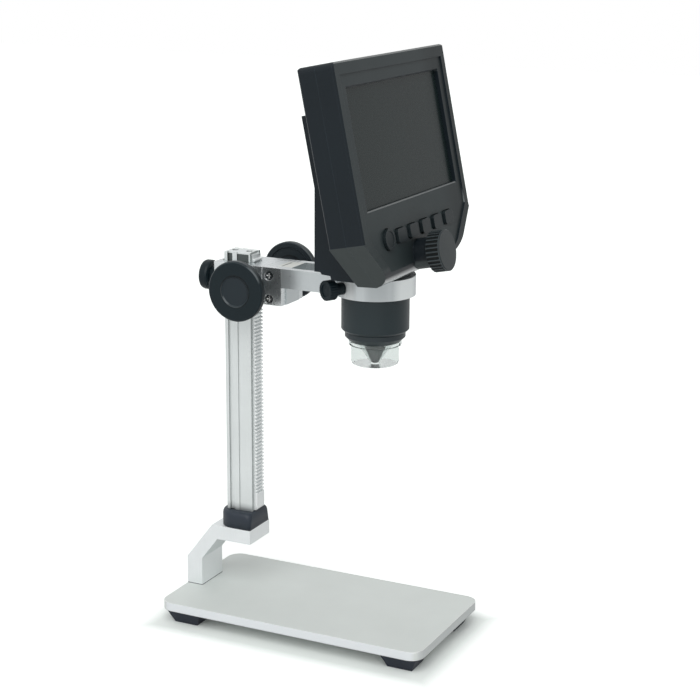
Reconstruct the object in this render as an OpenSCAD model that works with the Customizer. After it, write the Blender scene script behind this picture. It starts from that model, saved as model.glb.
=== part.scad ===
// LCD digital microscope on an aluminium rack stand.
// Millimetres. X runs to the right as seen from the screen, Y to the back, Z up.
// The origin lies on the table, under the middle of the base plate.

/* [Base] */
// Width of the base plate
base_w = 77.6; // [74:0.1:90]
// Length of the base plate, front to back
base_l = 145.6; // [142:0.1:160]
// Thickness of the base plate
base_t = 4.4; // [3:0.1:8]
// Radius of the base plate's corners
base_corner_r = 6.9; // [3:0.1:12]
// Height of a rubber foot
foot_h = 7.9; // [5:0.1:14]
// Width of a foot where it meets the plate
foot_top_w = 19.8; // [16:0.1:24]
// Width of a foot where it stands on the table
foot_bottom_w = 13; // [9:0.1:15]
// Distance of a foot's middle from the plate's long edge
foot_inset_x = 12.3; // [12:0.1:16]
// Distance of a foot's middle from the plate's short edge
foot_inset_y = 12.5; // [12:0.1:20]

/* [Column bracket] */
// Width of the bracket
bracket_w = 20.7; // [17:0.1:26]
// Thickness of the bracket's upright foot
bracket_foot_t = 8.9; // [7:0.1:12]
// Height of the upright foot before it leans forward
bracket_bend_h = 15; // [8:0.1:20]
// Height of the bracket's top above the base plate
bracket_h = 34.7; // [30:0.1:45]
// Thickness of the bracket's top block
bracket_top_t = 7.5; // [5:0.1:10]
// Horizontal reach of the leaning part
bracket_lean = 15.2; // [11:0.1:16]

/* [Column and rack] */
// Distance of the column's middle behind the middle of the plate
column_y = 43.6; // [42:0.1:45]
// Width of the column
column_w = 11.4; // [10:0.1:13]
// Depth of the column
column_d = 14.4; // [13:0.1:16]
// Height of the column above its bracket
column_h = 144.2; // [120:0.1:180]
// Depth of the groove in each side of the column
column_groove = 0.9; // [0.6:0.1:2]
// Radius of the two bores along the column
column_bore_r = 1.7; // [1.2:0.1:1.9]
// Height of the black collar round the column's foot
collar_h = 8.7; // [5:0.1:14]
// Wall of the collar in front of the column
collar_wall = 1.3; // [1:0.1:2]
// Wall of the collar behind the column
collar_back = 4; // [2:0.1:5]
// Gear module of the rack and its pinion
rack_module = 0.6; // [0.5:0.05:0.65]
// Width of the rack
rack_w = 7.5; // [6:0.1:8]
// Thickness of the rack in front of the column
rack_t = 2.1; // [1.9:0.05:2.5]
// Height of the rack's foot above the collar
rack_gap = 0.7; // [0.4:0.1:3]
// Length of the plain stretch at the rack's foot
rack_plain = 9.5; // [6:0.1:20]

/* [Carriage] */
// Depth of the pinion shaft below the top of the column
carriage_drop = 14.05; // [12:0.05:60]
// Height of the carriage
carriage_h = 18.9; // [17:0.1:24]
// Width of the carriage
carriage_w = 22.4; // [21:0.1:26]
// Length of the carriage in front of the pinion shaft
carriage_front_l = 15.4; // [13:0.1:20]
// Length of the carriage behind the column's back
carriage_back_l = 3.1; // [2.8:0.1:8]
// Thickness of the gib behind the column
gib_t = 1.2; // [1:0.1:1.8]
// Number of teeth on the pinion
pinion_teeth = 12; // [12:1:13]
// Radius of the pinion shaft
shaft_r = 2.5; // [2:0.1:2.5]
// Distance of a height knob's face from the middle
knob_face_x = 30; // [26:0.1:36]
// Radius of a height knob
knob_r = 14.9; // [12:0.1:16]
// Thickness of a height knob's rim
knob_rim_t = 3.8; // [2.5:0.1:5]
// Radius of the dish in a height knob's face
knob_dish_r = 7.7; // [6:0.1:10]
// Radius of the lock knob
lock_r = 7.5; // [6:0.1:9]
// Thickness of the lock knob
lock_t = 4.9; // [4:0.1:7]

/* [Arm and ring] */
// Distance from the column's middle to the barrel's axis
reach = 73.7; // [72:0.1:76]
// Thickness of the arm and its ring
arm_t = 9.7; // [8:0.1:12]
// Width over the two arms
arm_w = 22.7; // [21:0.1:26]
// Width of the slot between the two arms
arm_slot_w = 15.6; // [12:0.1:17]
// Length of the solid root behind the slot
arm_root = 3.7; // [3:0.1:6]
// Wall of the ring
ring_wall = 2.8; // [2.2:0.1:3.4]
// Angle of the ring's thumb screw behind the left side
thumb_angle = 28.25; // [26:0.25:32]
// Radius of the thumb screw's head
thumb_r = 4.9; // [4:0.1:5.2]

/* [Barrel] */
// Radius of the lens barrel
barrel_r = 16.6; // [16.4:0.05:16.8]
// Height of the barrel
barrel_h = 29.95; // [26:0.05:34]
// Radius of the nose ring under the barrel
nose_r = 14.8; // [14.2:0.1:15]
// Height of the nose ring
nose_h = 5.2; // [5:0.1:7]
// Radius of the clear light diffuser
diffuser_r = 11.65; // [11.5:0.05:12]
// Height of the diffuser under the nose ring
diffuser_h = 11.5; // [10:0.1:13]
// Up and down travel of the lens from its middle place
lens_travel = 2.4; // [1:0.1:2.4]

/* [Screen housing] */
// Backward tilt of the screen
tilt = 11.6; // [10:0.1:13]
// Gap between the ring and the housing
head_gap = 2.05; // [1:0.05:3]
// Distance from the barrel's axis to the foot of the screen's face
head_front = 28; // [27.5:0.1:29]
// Width of the housing
head_w = 121.7; // [120:0.1:126]
// Height of the housing along its face
head_h = 105.9; // [104:0.1:112]
// Depth of the housing
head_d = 18.1; // [17.5:0.1:19]
// Height of the knee where the lower corners are cut off
knee_v = 24.8; // [22:0.1:26]
// Depth of the front shell
front_d = 9.2; // [9:0.1:9.5]
// Wall of the shells
wall = 2.2; // [2:0.1:2.4]
// Radius along the lower front edge
chin_r = 10; // [8:0.1:11]
// Radius of the upper corners
corner_r = 3; // [2:0.1:5]
// Width of the raised rim round the face
rim_w = 4.75; // [3:0.05:4.9]
// Depth of the sunken field inside the rim
field_t = 0.8; // [0.3:0.1:1]
// Width of the screen opening
screen_w = 102.2; // [96:0.1:102.4]
// Height of the screen opening
screen_h = 55.5; // [50:0.1:55.8]
// Height of the screen opening's lower edge
screen_v = 38.3; // [38:0.1:39]

/* [Rear housing] */
// Width of the rear housing
rear_w = 65; // [63:0.1:70]
// Depth from the screen's face to the rear housing's slanted back
rear_d = 35; // [34.5:0.1:37]
// Height of the rear housing's top along the face
rear_v = 84.4; // [84:0.1:88]
// Distance from the barrel's axis to the rear housing's upright back
rear_back = 16.5; // [16.4:0.1:18]

/* [Keys and focus knob] */
// Travel of a key
key_travel = 0.6; // [0.3:0.1:0.8]
// Height of a key above the sunken field
key_rise = 1.5; // [0.9:0.1:2]
// Diameter of the round key's hole
round_key_d = 10.5; // [9:0.1:11]
// Width of a square key's hole
key_w = 9.8; // [8:0.1:10.4]
// Height of a square key's hole
key_h = 7; // [6:0.1:7.6]
// Spacing of the square keys
key_pitch = 13.75; // [13:0.05:13.9]
// Height of the keys' middle along the face
key_v = 23.1; // [22.6:0.1:23.6]
// Sideways place of the focus knob
focus_u = -4.5; // [-5:0.1:-4.2]
// Height of the focus knob's axis along the face
focus_v = 11.3; // [11:0.1:12]
// Distance of the focus knob's face from the screen's face
focus_out = 13.8; // [12:0.1:16]
// Length of the fluted focus knob
focus_l = 7.3; // [6:0.1:9]
// Radius of the focus knob
focus_r = 9.8; // [8:0.1:10]

/* [Hidden] */
$fn = 48;
// Radial gap of shafts and screws, and of the two wide bores; gap of running flat faces and of loose pieces
fit = 0.05;
bore_gap = 0.08;
slide_gap = 0.1;
loose_gap = 0.3;
// A little more than touching, for cuts that go right through
over = 0.1;
far = 200;

plate_top = foot_h + base_t;
bracket_top = plate_top + bracket_h;
column_top = bracket_top + column_h;
column_front = column_y - column_d / 2;
column_back = column_y + column_d / 2;
bore_spread = 4;

// The pinion is cut without undercut, so the rack's teeth are a little short
pressure = 20;
tooth_pitch = PI * rack_module;
rack_addendum = 0.65 * rack_module;
rack_dedendum = 1.15 * rack_module;
pinion_addendum = 0.9 * rack_module;
pinion_r = pinion_teeth * rack_module / 2;
backlash = 0.12;
rack_front = column_front - rack_t;
pitch_y = rack_front + rack_addendum;
pinion_y = pitch_y - pinion_r;
rack_z0 = bracket_top + collar_h + rack_gap;
rack_z1 = column_top - 1;
first_tooth = rack_z0 + rack_plain;

carriage_z = column_top - carriage_drop;
carriage_top = carriage_z + carriage_h / 2;
carriage_front = pinion_y - carriage_front_l;
carriage_back = column_back + carriage_back_l;
gib_y = column_back + slide_gap;
cheek_x = 6.6;
tail_l = 9.8;
side_screw_y = carriage_front + 6.9;
side_screw_dz = 5.9;
knob_hub_r = 5.5;
knob_gap = 0.4;
lock_neck_r = 4.1;
lock_out = 6.6;

arm_z0 = carriage_top - arm_t;
ring_z = carriage_top - arm_t / 2;
barrel_y = column_y - reach;
ring_bore_r = barrel_r + bore_gap;
ring_r = ring_bore_r + ring_wall;
thumb_out = ring_r + 10.2;
thumb_head_l = 4.4;
thumb_shank_r = 1.9;

head_z = carriage_top + head_gap;
head_y = barrel_y - head_front;
barrel_z = head_z - barrel_h;
barrel_wall = 2;
barrel_roof = 4;
spigot_r = barrel_r - 4.2;
carrier_r = barrel_r - 6.4;
carrier_wall = 2.2;
carrier_z0 = barrel_z + 6.5;
carrier_z1 = head_z + 14.4;
// Small screws of boards, frame and cover, and larger ones of the case, with their heads
small_r = 0.8;
small_head_r = 1.6;
small_head_h = 0.9;
case_r = 1;
case_head_r = 2;
case_head_h = 1.2;
case_sink = 1.8;
rear_boss_l = 8;
pillar_r = 2.2;
// Seat of the diffuser in the nose ring, and the light board over it
cup_seat_r = 11.3;
led_r = cup_seat_r - 0.1;
led_drop = 2;
barrel_screw_x = 13.9;
barrel_screw_dy = 3.4;

// The glass, the panel and its frame follow the screen opening; the posts follow the housing
fascia_t = wall;
glass_w0 = fascia_t + 0.5;
glass_t = 1.2;
lcd_gap = 0.05;
lcd_w = screen_w + 2.8;
lcd_h = screen_h + 11.7;
lcd_t = 2.8;
lcd_v = screen_v + screen_h / 2;
lcd_w0 = glass_w0 + glass_t + lcd_gap;
lcd_back = lcd_w0 + lcd_t;
frame_t = 0.8;
frame_post_r = 1.8;
frame_u = screen_w * 0.3;
frame_dv = lcd_h / 2 + frame_post_r + lcd_gap;
frame_v = [lcd_v - frame_dv, lcd_v + frame_dv];
board_w0 = 10;
board_t = 1.2;
board_u = head_w / 2 - 15.35;
board_post_u = board_u - 5.5;
board_v0 = lcd_v - lcd_h / 2 + 1;
board_v1 = lcd_v + lcd_h / 2 - 4.2;
board_post_v = [board_v0 + 6, board_v1 - 6];
post_r = 2.5;
post_u = head_w / 2 - 5.25;
post_v = head_h - post_r - 1.1;
low_post_u = head_w / 2 - 8.85;
low_post_v = knee_v + 3.2;
mouth_u = 25.5;
mouth_v0 = face_v(head_d - wall, wall);
mouth_v1 = 80;
rear_boss_u = rear_w / 2 - wall - 1;
rear_boss_v = [26, 77];
rear_floor = 5.2;
sensor_z = head_z + 18.4;
pillar_x = barrel_r - 0.1;
pillar_y = [-0.43 * barrel_r, 0.55 * barrel_r];
cell_w = rear_w * 0.66;
cell_h = 24;
cell_t = 6;
cell_v = rear_v * 0.803;
cover_w = rear_w * 0.83;
cover_h = cell_h * 1.23;
cover_t = 1.4;
cover_screw_u = cover_w * 0.46;
cover_post_l = 6;
port_v = lcd_v;
port_w = 8;
port_t = 3;

key_shift = 5.4;
round_key_u = -35.3;
key_gap = 0.3;
key_flange = 0.9;
key_flange_t = 0.8;
stem_r = 1.5;
switch_top = 5.1;
key_board_w0 = 7.2;

focus_shaft_r = 1.5;
focus_boss_r = 7.3;
focus_stem_r = 4.4;
focus_module = 0.4;
focus_teeth = 12;
focus_gear_r = focus_module * focus_teeth / 2;
focus_gear_w0 = 12;
focus_gear_l = 3;

// ---------- helpers ----------

// What goes off a corner at x, y to round it; sx and sy point out of the corner
module corner_cut(x, y, sx, sy, r) {
    translate([x - sx * r, y - sy * r])
        difference() {
            translate([sx > 0 ? 0 : -r - over, sy > 0 ? 0 : -r - over])
                square(r + over);
            circle(r);
        }
}

// A rectangle of w by h about the origin, with round corners
module round_rect(w, h, r) {
    difference() {
        square([w, h], center = true);
        for (sx = [-1, 1], sy = [-1, 1])
            corner_cut(sx * w / 2, sy * h / 2, sx, sy, r);
    }
}

// A profile in Y and Z, extruded along X about the middle
module along_x(w) {
    translate([-w / 2, 0, 0])
        rotate([90, 0, 90])
            linear_extrude(w)
                children();
}

// A profile in X and Y, extruded up from z0 to z1
module between(z0, z1) {
    translate([0, 0, z0])
        linear_extrude(z1 - z0)
            children();
}

// A rod along X from x0 to x1
module rod_x(r, x0, x1) {
    translate([x0, 0, 0])
        rotate([0, 90, 0])
            cylinder(r = r, h = x1 - x0);
}

// A rod along Y from y0 to y1
module rod_y(r, y0, y1) {
    translate([0, y0, 0])
        rotate([-90, 0, 0])
            cylinder(r = r, h = y1 - y0);
}

// A screw with its head standing on z = 0 and its shank below, with a cross recess
module screw(r, l, head_r, head_h) {
    difference() {
        union() {
            cylinder(r = head_r, h = head_h);
            translate([0, 0, -l])
                cylinder(r = r, h = l + over);
        }
        for (a = [0, 90])
            rotate([0, 0, a])
                translate([-head_r * 0.6, -head_r * 0.12, head_h * 0.5])
                    cube([head_r * 1.2, head_r * 0.24, head_h]);
    }
}

// Point p turned by a degrees; the roll and flank angles follow the involute of base radius rb
function turned(p, a) = [p[0] * cos(a) - p[1] * sin(a), p[0] * sin(a) + p[1] * cos(a)];
function roll(rb, r) = r > rb ? sqrt(pow(r / rb, 2) - 1) * 180 / PI : 0;
function flank_angle(rb, r) = roll(rb, r) - atan(roll(rb, r) * PI / 180);

// Half the angle that a tooth fills at the pitch circle, less half the backlash
function half_tooth(n, m) = 90 / n - backlash / 2 / (n * m / 2) * 180 / PI;

// One flank of a tooth about the X axis, from root to tip, in steps of equal radius
function flank(n, m, root_r, tip_r) =
    let (rb = n * m / 2 * cos(pressure), off = half_tooth(n, m) + flank_angle(rb, n * m / 2))
    [for (i = [0 : 5])
        let (r = root_r + (tip_r - root_r) * i / 5, a = r > rb ? flank_angle(rb, r) : 0)
        turned([r, 0], a - off)];

// A spur gear profile with a tooth on the X axis
module gear_profile(n, m, root_r, tip_r) {
    right = flank(n, m, root_r, tip_r);
    left = [for (i = [5 : -1 : 0]) [right[i][0], -right[i][1]]];
    polygon([for (k = [0 : n - 1], p = concat(right, left)) turned(p, k * 360 / n)]);
}

// ---------- frame of the screen housing ----------

// Children stand in the housing's own frame: X across, Y into the depth and Z up the face
module head() {
    translate([0, head_y, head_z])
        rotate([-tilt, 0, 0])
            children();
}

// The same point in the world's Y and Z
function head_yz(w, v) = [head_y + w * cos(tilt) + v * sin(tilt), head_z - w * sin(tilt) + v * cos(tilt)];
// Height along the face, at depth w, of the world height z above the housing's foot
function face_v(w, z) = (z + w * sin(tilt)) / cos(tilt);

// A profile in X and V, extruded in depth from w0 to w1
module in_depth(w0, w1) {
    translate([0, w1, 0])
        rotate([90, 0, 0])
            linear_extrude(w1 - w0)
                children();
}

// Outline of the housing in X and V, drawn in by an inset
module head_outline(inset) {
    a = head_w / 2 - inset;
    knee = knee_v + inset * (sqrt(2) - 1);
    low = a - knee - 8;
    top = head_h - inset;
    r = max(corner_r - inset, 0.4);
    difference() {
        polygon([[-low, -8], [low, -8], [a, knee], [a, top], [-a, top], [-a, knee]]);
        for (s = [-1, 1])
            corner_cut(s * a, top, s, 1, r);
    }
}

// Side profile of the housing in Y and Z, between two depths, above a floor
module head_side(w0, w1, floor_h, r) {
    corner = head_yz(w0, face_v(w0, floor_h));
    c = head_yz(w0 + r, face_v(w0 + r, floor_h + r));
    tangent = head_yz(w0, face_v(w0 + r, floor_h + r));
    difference() {
        polygon([corner, head_yz(w0, head_h + 5), head_yz(w1, head_h + 5),
            head_yz(w1, face_v(w1, floor_h))]);
        difference() {
            polygon([corner - [1, 1], tangent, c, [c[0], corner[1]]]);
            translate(c)
                circle(r, $fn = 64);
        }
    }
}

// The housing between two depths, drawn in by an inset, above a floor
module head_block(w0, w1, inset, floor_h, r) {
    intersection() {
        head()
            in_depth(w0 - 10, w1 + 10)
                head_outline(inset);
        along_x(head_w + 10)
            head_side(w0, w1, floor_h, r);
    }
}

// A bar with a square section set on its corner, along X from x0 to x1
module bevel_bar(x0, x1, size) {
    translate([x0, 0, 0])
        rotate([45, 0, 0])
            translate([0, -size / sqrt(2), -size / sqrt(2)])
                cube([x1 - x0, size * sqrt(2), size * sqrt(2)]);
}

// Bevels along the top and the two upright edges, at depth w
module rim_bevel(w, size) {
    translate([0, w, head_h])
        bevel_bar(-head_w, head_w, size);
    for (s = [-1, 1])
        translate([s * head_w / 2, w, knee_v])
            rotate([0, -90, 0])
                bevel_bar(0, head_h, size);
}

// ---------- stand ----------

module base_plate() {
    color("silver")
        difference() {
            between(foot_h, plate_top)
                round_rect(base_w, base_l, base_corner_r);
            for (s = [-1, 1])
                translate([s * bracket_w / 4, base_l / 2 - bracket_foot_t / 2, foot_h])
                    bracket_screw(fit);
        }
}

// A countersunk screw from below, with its head's face at z = 0
module bracket_screw(gap) {
    head_h = 1.8;
    translate([0, 0, -gap])
        cylinder(r = 3.6 + gap, h = 2 * gap);
    cylinder(r1 = 3.6 + gap, r2 = 1.8 + gap, h = head_h);
    translate([0, 0, head_h - over])
        cylinder(r = 1.8 + gap, h = base_t + 6 - head_h + over + gap);
}

module feet() {
    color("#1c1d1f")
        for (sx = [-1, 1], sy = [-1, 1])
            translate([sx * (base_w / 2 - foot_inset_x), sy * (base_l / 2 - foot_inset_y), 0])
                intersection() {
                    along_x(foot_top_w)
                        foot_side();
                    rotate([0, 0, 90])
                        along_x(foot_top_w)
                            foot_side();
                }
}

module foot_side() {
    b = foot_bottom_w / 2;
    t = foot_top_w / 2;
    polygon([[-b, 0], [b, 0], [t, foot_h], [-t, foot_h]]);
}

module column_bracket() {
    back = base_l / 2;
    bend = plate_top + bracket_bend_h;
    slope = bracket_lean / (bracket_h - bracket_bend_h);
    under = bracket_top - bracket_top_t;
    front = column_front - collar_wall;
    color("#d9dde0")
        difference() {
            along_x(bracket_w)
                polygon([[back, plate_top], [back, bend], [back - bracket_lean, bracket_top],
                    [front, bracket_top], [front, under],
                    [back - bracket_foot_t - slope * (under - bend), under],
                    [back - bracket_foot_t, bend], [back - bracket_foot_t, plate_top]]);
            for (s = [-1, 1])
                translate([s * bracket_w / 4, back - bracket_foot_t / 2, foot_h])
                    bracket_screw(fit);
            for (s = [-1, 1])
                translate([0, column_y + s * bore_spread, under])
                    column_screw(fit);
        }
}

module bracket_screws() {
    color("#8f9396")
        for (s = [-1, 1])
            translate([s * bracket_w / 4, base_l / 2 - bracket_foot_t / 2, foot_h])
                difference() {
                    bracket_screw(0);
                    translate([0, 0, -over])
                        cylinder(r = 1.2, h = 1.3, $fn = 6);
                }
}

// A socket head screw up through the bracket into the column, its head sunk in the underside
module column_screw(gap) {
    translate([0, 0, -gap * 2])
        cylinder(r = 3 + gap, h = 3 + gap * 2);
    translate([0, 0, 3 - over])
        cylinder(r = column_bore_r - 0.05 + gap, h = bracket_top_t + 8 - 3 + over + gap);
}

module column_screws() {
    color("#5c6064")
        for (s = [-1, 1])
            translate([0, column_y + s * bore_spread, bracket_top - bracket_top_t])
                difference() {
                    column_screw(0);
                    translate([0, 0, -over])
                        cylinder(r = 1.3, h = 1.8, $fn = 6);
                }
}

module column_collar() {
    y0 = column_front - collar_wall;
    y1 = column_back + collar_back;
    half = bracket_w / 2;
    top = bracket_top + collar_h;
    front_edge = collar_wall * 0.7;
    edge = 1.5;
    color("#23262a")
        difference() {
            // Round back corners; the top edge is cut away on all four sides
            intersection() {
                between(bracket_top, top)
                    difference() {
                        translate([-half, y0])
                            square([bracket_w, y1 - y0]);
                        for (s = [-1, 1]) {
                            corner_cut(s * half, y0, s, -1, 1.2);
                            corner_cut(s * half, y1, s, 1, 5.5);
                        }
                    }
                along_x(bracket_w + 2 * over)
                    polygon([[y0, bracket_top], [y1, bracket_top], [y1, top - edge], [y1 - edge, top],
                        [y0 + front_edge, top], [y0, top - front_edge]]);
                in_depth(y0 - over, y1 + over)
                    polygon([[-half, bracket_top], [half, bracket_top], [half, top - edge],
                        [half - edge, top], [-half + edge, top], [-half, top - edge]]);
            }
            between(bracket_top - over, top + over)
                translate([0, column_y])
                    square([column_w + 2 * fit, column_d + 2 * fit], center = true);
        }
}

module column_profile() {
    groove_y = column_d * 0.28;
    groove_w = column_d * 0.2;
    flat = 0.5;
    difference() {
        square([column_w, column_d], center = true);
        for (s = [-1, 1]) {
            // Groove between two ribs, and the lower flat in front of them
            translate([s * column_w / 2, groove_y])
                square([2 * column_groove, groove_w], center = true);
            translate([s * column_w / 2 - flat, -column_d / 2 - over])
                square([2 * flat, column_d / 2 + over]);
            translate([0, s * bore_spread])
                circle(column_bore_r);
        }
        // Bed of the rack
        translate([0, -column_d / 2])
            square([rack_w + 2 * fit, 1], center = true);
    }
}

module column() {
    color("#ccd1d4")
        translate([0, column_y, bracket_top])
            linear_extrude(column_h)
                column_profile();
}

module gear_rack() {
    y_root = pitch_y + rack_dedendum;
    y_back = column_front + 0.5;
    half = tooth_pitch / 4 - backlash / 4;
    tip = half - rack_addendum * tan(pressure);
    root = half + rack_dedendum * tan(pressure);
    count = floor((rack_z1 - first_tooth) / tooth_pitch);
    teeth = [for (i = [0 : count - 1])
        let (z = first_tooth + (i + 0.5) * tooth_pitch)
        each [[y_root, z - root], [rack_front, z - tip], [rack_front, z + tip], [y_root, z + root]]];
    color("#d3d7d9")
        along_x(rack_w)
            polygon(concat([[y_back, rack_z0], [rack_front + 0.8, rack_z0], [rack_front, rack_z0 + 0.8],
                [rack_front, first_tooth - 0.4], [y_root, first_tooth]],
                teeth, [[y_root, rack_z1], [y_back, rack_z1]]));
}

// ---------- carriage and arm ----------

// Section of the carriage in X and Y, without the notch for the arm
module carriage_section() {
    channel = column_w / 2 + slide_gap;
    rack_room = rack_w / 2 + loose_gap;
    edge = 0.6;
    line = 0.5;
    half = carriage_w / 2;
    difference() {
        polygon([[-half, carriage_front], [half, carriage_front], [half, carriage_back - edge],
            [half - edge, carriage_back], [-half + edge, carriage_back], [-half, carriage_back - edge]]);
        translate([-channel, column_front - slide_gap])
            square([2 * channel, column_d + 3 * slide_gap + gib_t]);
        translate([-rack_room, rack_front - loose_gap])
            square([2 * rack_room, rack_t + loose_gap + over]);
        // Fine upright line in each side
        for (s = [-1, 1])
            translate([s * half, side_screw_y + 3.7])
                square([line, line], center = true);
    }
}

module carriage_block() {
    teeth_x = rack_w / 2 + loose_gap;
    color("#c3c8cb")
        difference() {
            between(carriage_z - carriage_h / 2, carriage_top)
                carriage_section();
            // Notch between the two cheeks, where the arm's tail sits
            translate([-cheek_x, carriage_front - over, carriage_z - carriage_h / 2 - over])
                cube([2 * cheek_x, tail_l + over, carriage_h + 2 * over]);
            // Bore of the pinion shaft and room for its teeth
            translate([0, pinion_y, carriage_z]) {
                rod_x(shaft_r + fit, -far / 2, far / 2);
                rod_x(pinion_r + pinion_addendum + loose_gap, -teeth_x, teeth_x);
            }
            // Counterbores and holes of the side screws
            for (s = [-1, 1], dz = [-1, 1])
                side_screw_place(s, dz)
                    union() {
                        cylinder(r = 2.4, h = 3);
                        translate([0, 0, -4])
                            cylinder(r = 1.4 + fit, h = 5);
                    }
            translate([0, 0, carriage_z])
                rod_y(2 + fit, column_back, carriage_back + over);
        }
}

// Children point outwards, with z = 0 at the floor of a side screw's counterbore
module side_screw_place(s, dz) {
    translate([s * (carriage_w / 2 - 2), side_screw_y, carriage_z - 0.6 + dz * side_screw_dz])
        rotate([0, s * 90, 0])
            children();
}

module side_screws() {
    color("#6d7276")
        for (s = [-1, 1], dz = [-1, 1])
            side_screw_place(s, dz)
                screw(1.4, 5.8, 2.25, 1.6);
}

module gib() {
    color("#b08d3e")
        translate([-column_w / 2, gib_y, carriage_z - carriage_h / 2 + 1])
            cube([column_w, gib_t, carriage_h - 2]);
}

module arm_fork() {
    tail_y1 = carriage_front + tail_l - slide_gap;
    slot_y1 = carriage_front - arm_root;
    color("#cbd0d3")
        difference() {
            union() {
                between(arm_z0, carriage_top)
                    difference() {
                        union() {
                            translate([0, barrel_y])
                                circle(ring_r, $fn = 96);
                            translate([-arm_w / 2, barrel_y])
                                square([arm_w, carriage_front - barrel_y - fit]);
                        }
                        difference() {
                            translate([-arm_slot_w / 2, barrel_y])
                                square([arm_slot_w, slot_y1 - barrel_y]);
                            translate([0, barrel_y])
                                circle(ring_r, $fn = 96);
                        }
                    }
                translate([-cheek_x + fit, carriage_front - fit - 0.5, carriage_z - carriage_h / 2])
                    cube([2 * (cheek_x - fit), tail_y1 - carriage_front + fit + 0.5, carriage_h]);
            }
            translate([0, barrel_y, arm_z0 - over])
                cylinder(r = ring_bore_r, h = arm_t + 2 * over, $fn = 96);
            thumb_place()
                rod_x(thumb_shank_r + fit, ring_bore_r - 2, ring_r + 2);
            for (s = [-1, 1], dz = [-1, 1])
                side_screw_place(s, dz)
                    translate([0, 0, -6])
                        cylinder(r = 1.4 + fit, h = 5);
            // Saw cut across the top of the tail
            translate([-cheek_x + 1.1, carriage_front + 2.3, carriage_top - 1])
                cube([2 * cheek_x - 2.2, 0.6, 2]);
        }
}

// Children lie along X, which points outwards along the thumb screw
module thumb_place() {
    translate([0, barrel_y, ring_z])
        rotate([0, 0, 180 - thumb_angle])
            children();
}

module ring_screw() {
    neck_r = 3;
    color("#26282b")
        thumb_place()
            difference() {
                union() {
                    rod_x(thumb_shank_r, barrel_r + 0.15, thumb_out - 1);
                    rod_x(neck_r, ring_r + loose_gap, thumb_out - 1);
                    rod_x(thumb_r, thumb_out - thumb_head_l, thumb_out);
                }
                for (a = [0 : 15 : 345])
                    rotate([a, 0, 0])
                        translate([0, thumb_r + 0.4, 0])
                            rod_x(0.6, thumb_out - thumb_head_l - over, thumb_out + over);
                rod_x(3.3, thumb_out - 0.5, thumb_out + over);
            }
}

module lock_screw() {
    head_y0 = carriage_back + lock_out;
    dish_r = lock_r * 0.6;
    color("#26282b")
        translate([0, 0, carriage_z])
            union() {
                rod_y(2, gib_y + gib_t + 0.05, head_y0 + 1);
                rod_y(lock_neck_r, carriage_back + loose_gap, head_y0 + 1);
                // Smooth head with soft edges and a dished face
                translate([0, head_y0, 0])
                    rotate([-90, 0, 0])
                        rotate_extrude($fn = 64)
                            polygon([[0, 0], [lock_r - 1.2, 0], [lock_r - 0.35, 0.35], [lock_r, 1.2],
                                [lock_r, lock_t - 1.2], [lock_r - 0.35, lock_t - 0.35],
                                [lock_r - 1.2, lock_t], [dish_r, lock_t], [dish_r - 0.5, lock_t - 0.5],
                                [0, lock_t - 0.5]]);
            }
}

// ---------- pinion and height knobs ----------

module pinion_shaft() {
    // Turn that sets a gap between two teeth over the rack's tooth at the shaft's height
    phase = (carriage_z - first_tooth - tooth_pitch / 2) / pinion_r * 180 / PI;
    end_x = knob_face_x - 2;
    color("#a9aeb2")
        translate([0, pinion_y, carriage_z])
            union() {
                rod_x(shaft_r, -end_x, end_x);
                rotate([-phase, 0, 0])
                    along_x(rack_w - 0.4)
                        rotate([0, 0, 180 / pinion_teeth])
                            gear_profile(pinion_teeth, rack_module, pinion_r - rack_addendum - 0.15,
                                pinion_r + pinion_addendum);
            }
}

module knob(s) {
    x_in = carriage_w / 2 + knob_gap;
    rim_in = knob_face_x - knob_rim_t;
    band_r = knob_r - 2.6;
    translate([0, pinion_y, carriage_z])
        rotate([0, s > 0 ? 0 : 180, 0])
            difference() {
                // The rim stands out a little on both sides of the web
                rotate([0, 90, 0])
                    rotate_extrude($fn = 96)
                        polygon([[0, x_in], [knob_hub_r, x_in], [knob_hub_r, rim_in + 0.8],
                            [band_r - 0.6, rim_in + 0.8], [band_r, rim_in], [knob_r - 0.5, rim_in],
                            [knob_r, rim_in + 0.5], [knob_r, knob_face_x - 0.7],
                            [knob_r - 0.7, knob_face_x], [knob_dish_r, knob_face_x],
                            [knob_dish_r - 0.6, knob_face_x - 0.6], [0, knob_face_x - 0.6]]);
                rod_x(shaft_r + fit, x_in - over, knob_face_x - 2 + fit);
            }
}

module knob_left() {
    color("#24272b")
        knob(-1);
}

module knob_right() {
    color("#24272b")
        knob(1);
}

// ---------- barrel and light ----------

// Children stand on the barrel's axis, with z = 0 at the barrel's foot
module on_barrel() {
    translate([0, barrel_y, barrel_z])
        children();
}

module barrel() {
    inner = barrel_r - barrel_wall;
    roof = barrel_h - barrel_roof;
    bore = carrier_r + bore_gap;
    color("#2c3133")
        on_barrel()
            difference() {
                rotate_extrude($fn = 96)
                    polygon([[inner, 0], [barrel_r - 1.2, 0], [barrel_r, 1.2], [barrel_r, barrel_h],
                        [spigot_r, barrel_h], [spigot_r, barrel_h + wall], [bore, barrel_h + wall],
                        [bore, roof], [inner, roof]]);
                for (sx = [-1, 1], sy = [-1, 1])
                    translate([sx * barrel_screw_x, sy * barrel_screw_dy, barrel_h - 3.2])
                        cylinder(r = case_r + fit, h = barrel_roof);
            }
}

module barrel_screws() {
    color("#8f9396")
        for (sx = [-1, 1], sy = [-1, 1])
            translate([sx * barrel_screw_x, barrel_y + sy * barrel_screw_dy, head_z + rear_floor])
                screw(case_r, rear_floor + 3, case_head_r - 0.1, case_head_h + 0.2);
}

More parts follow.
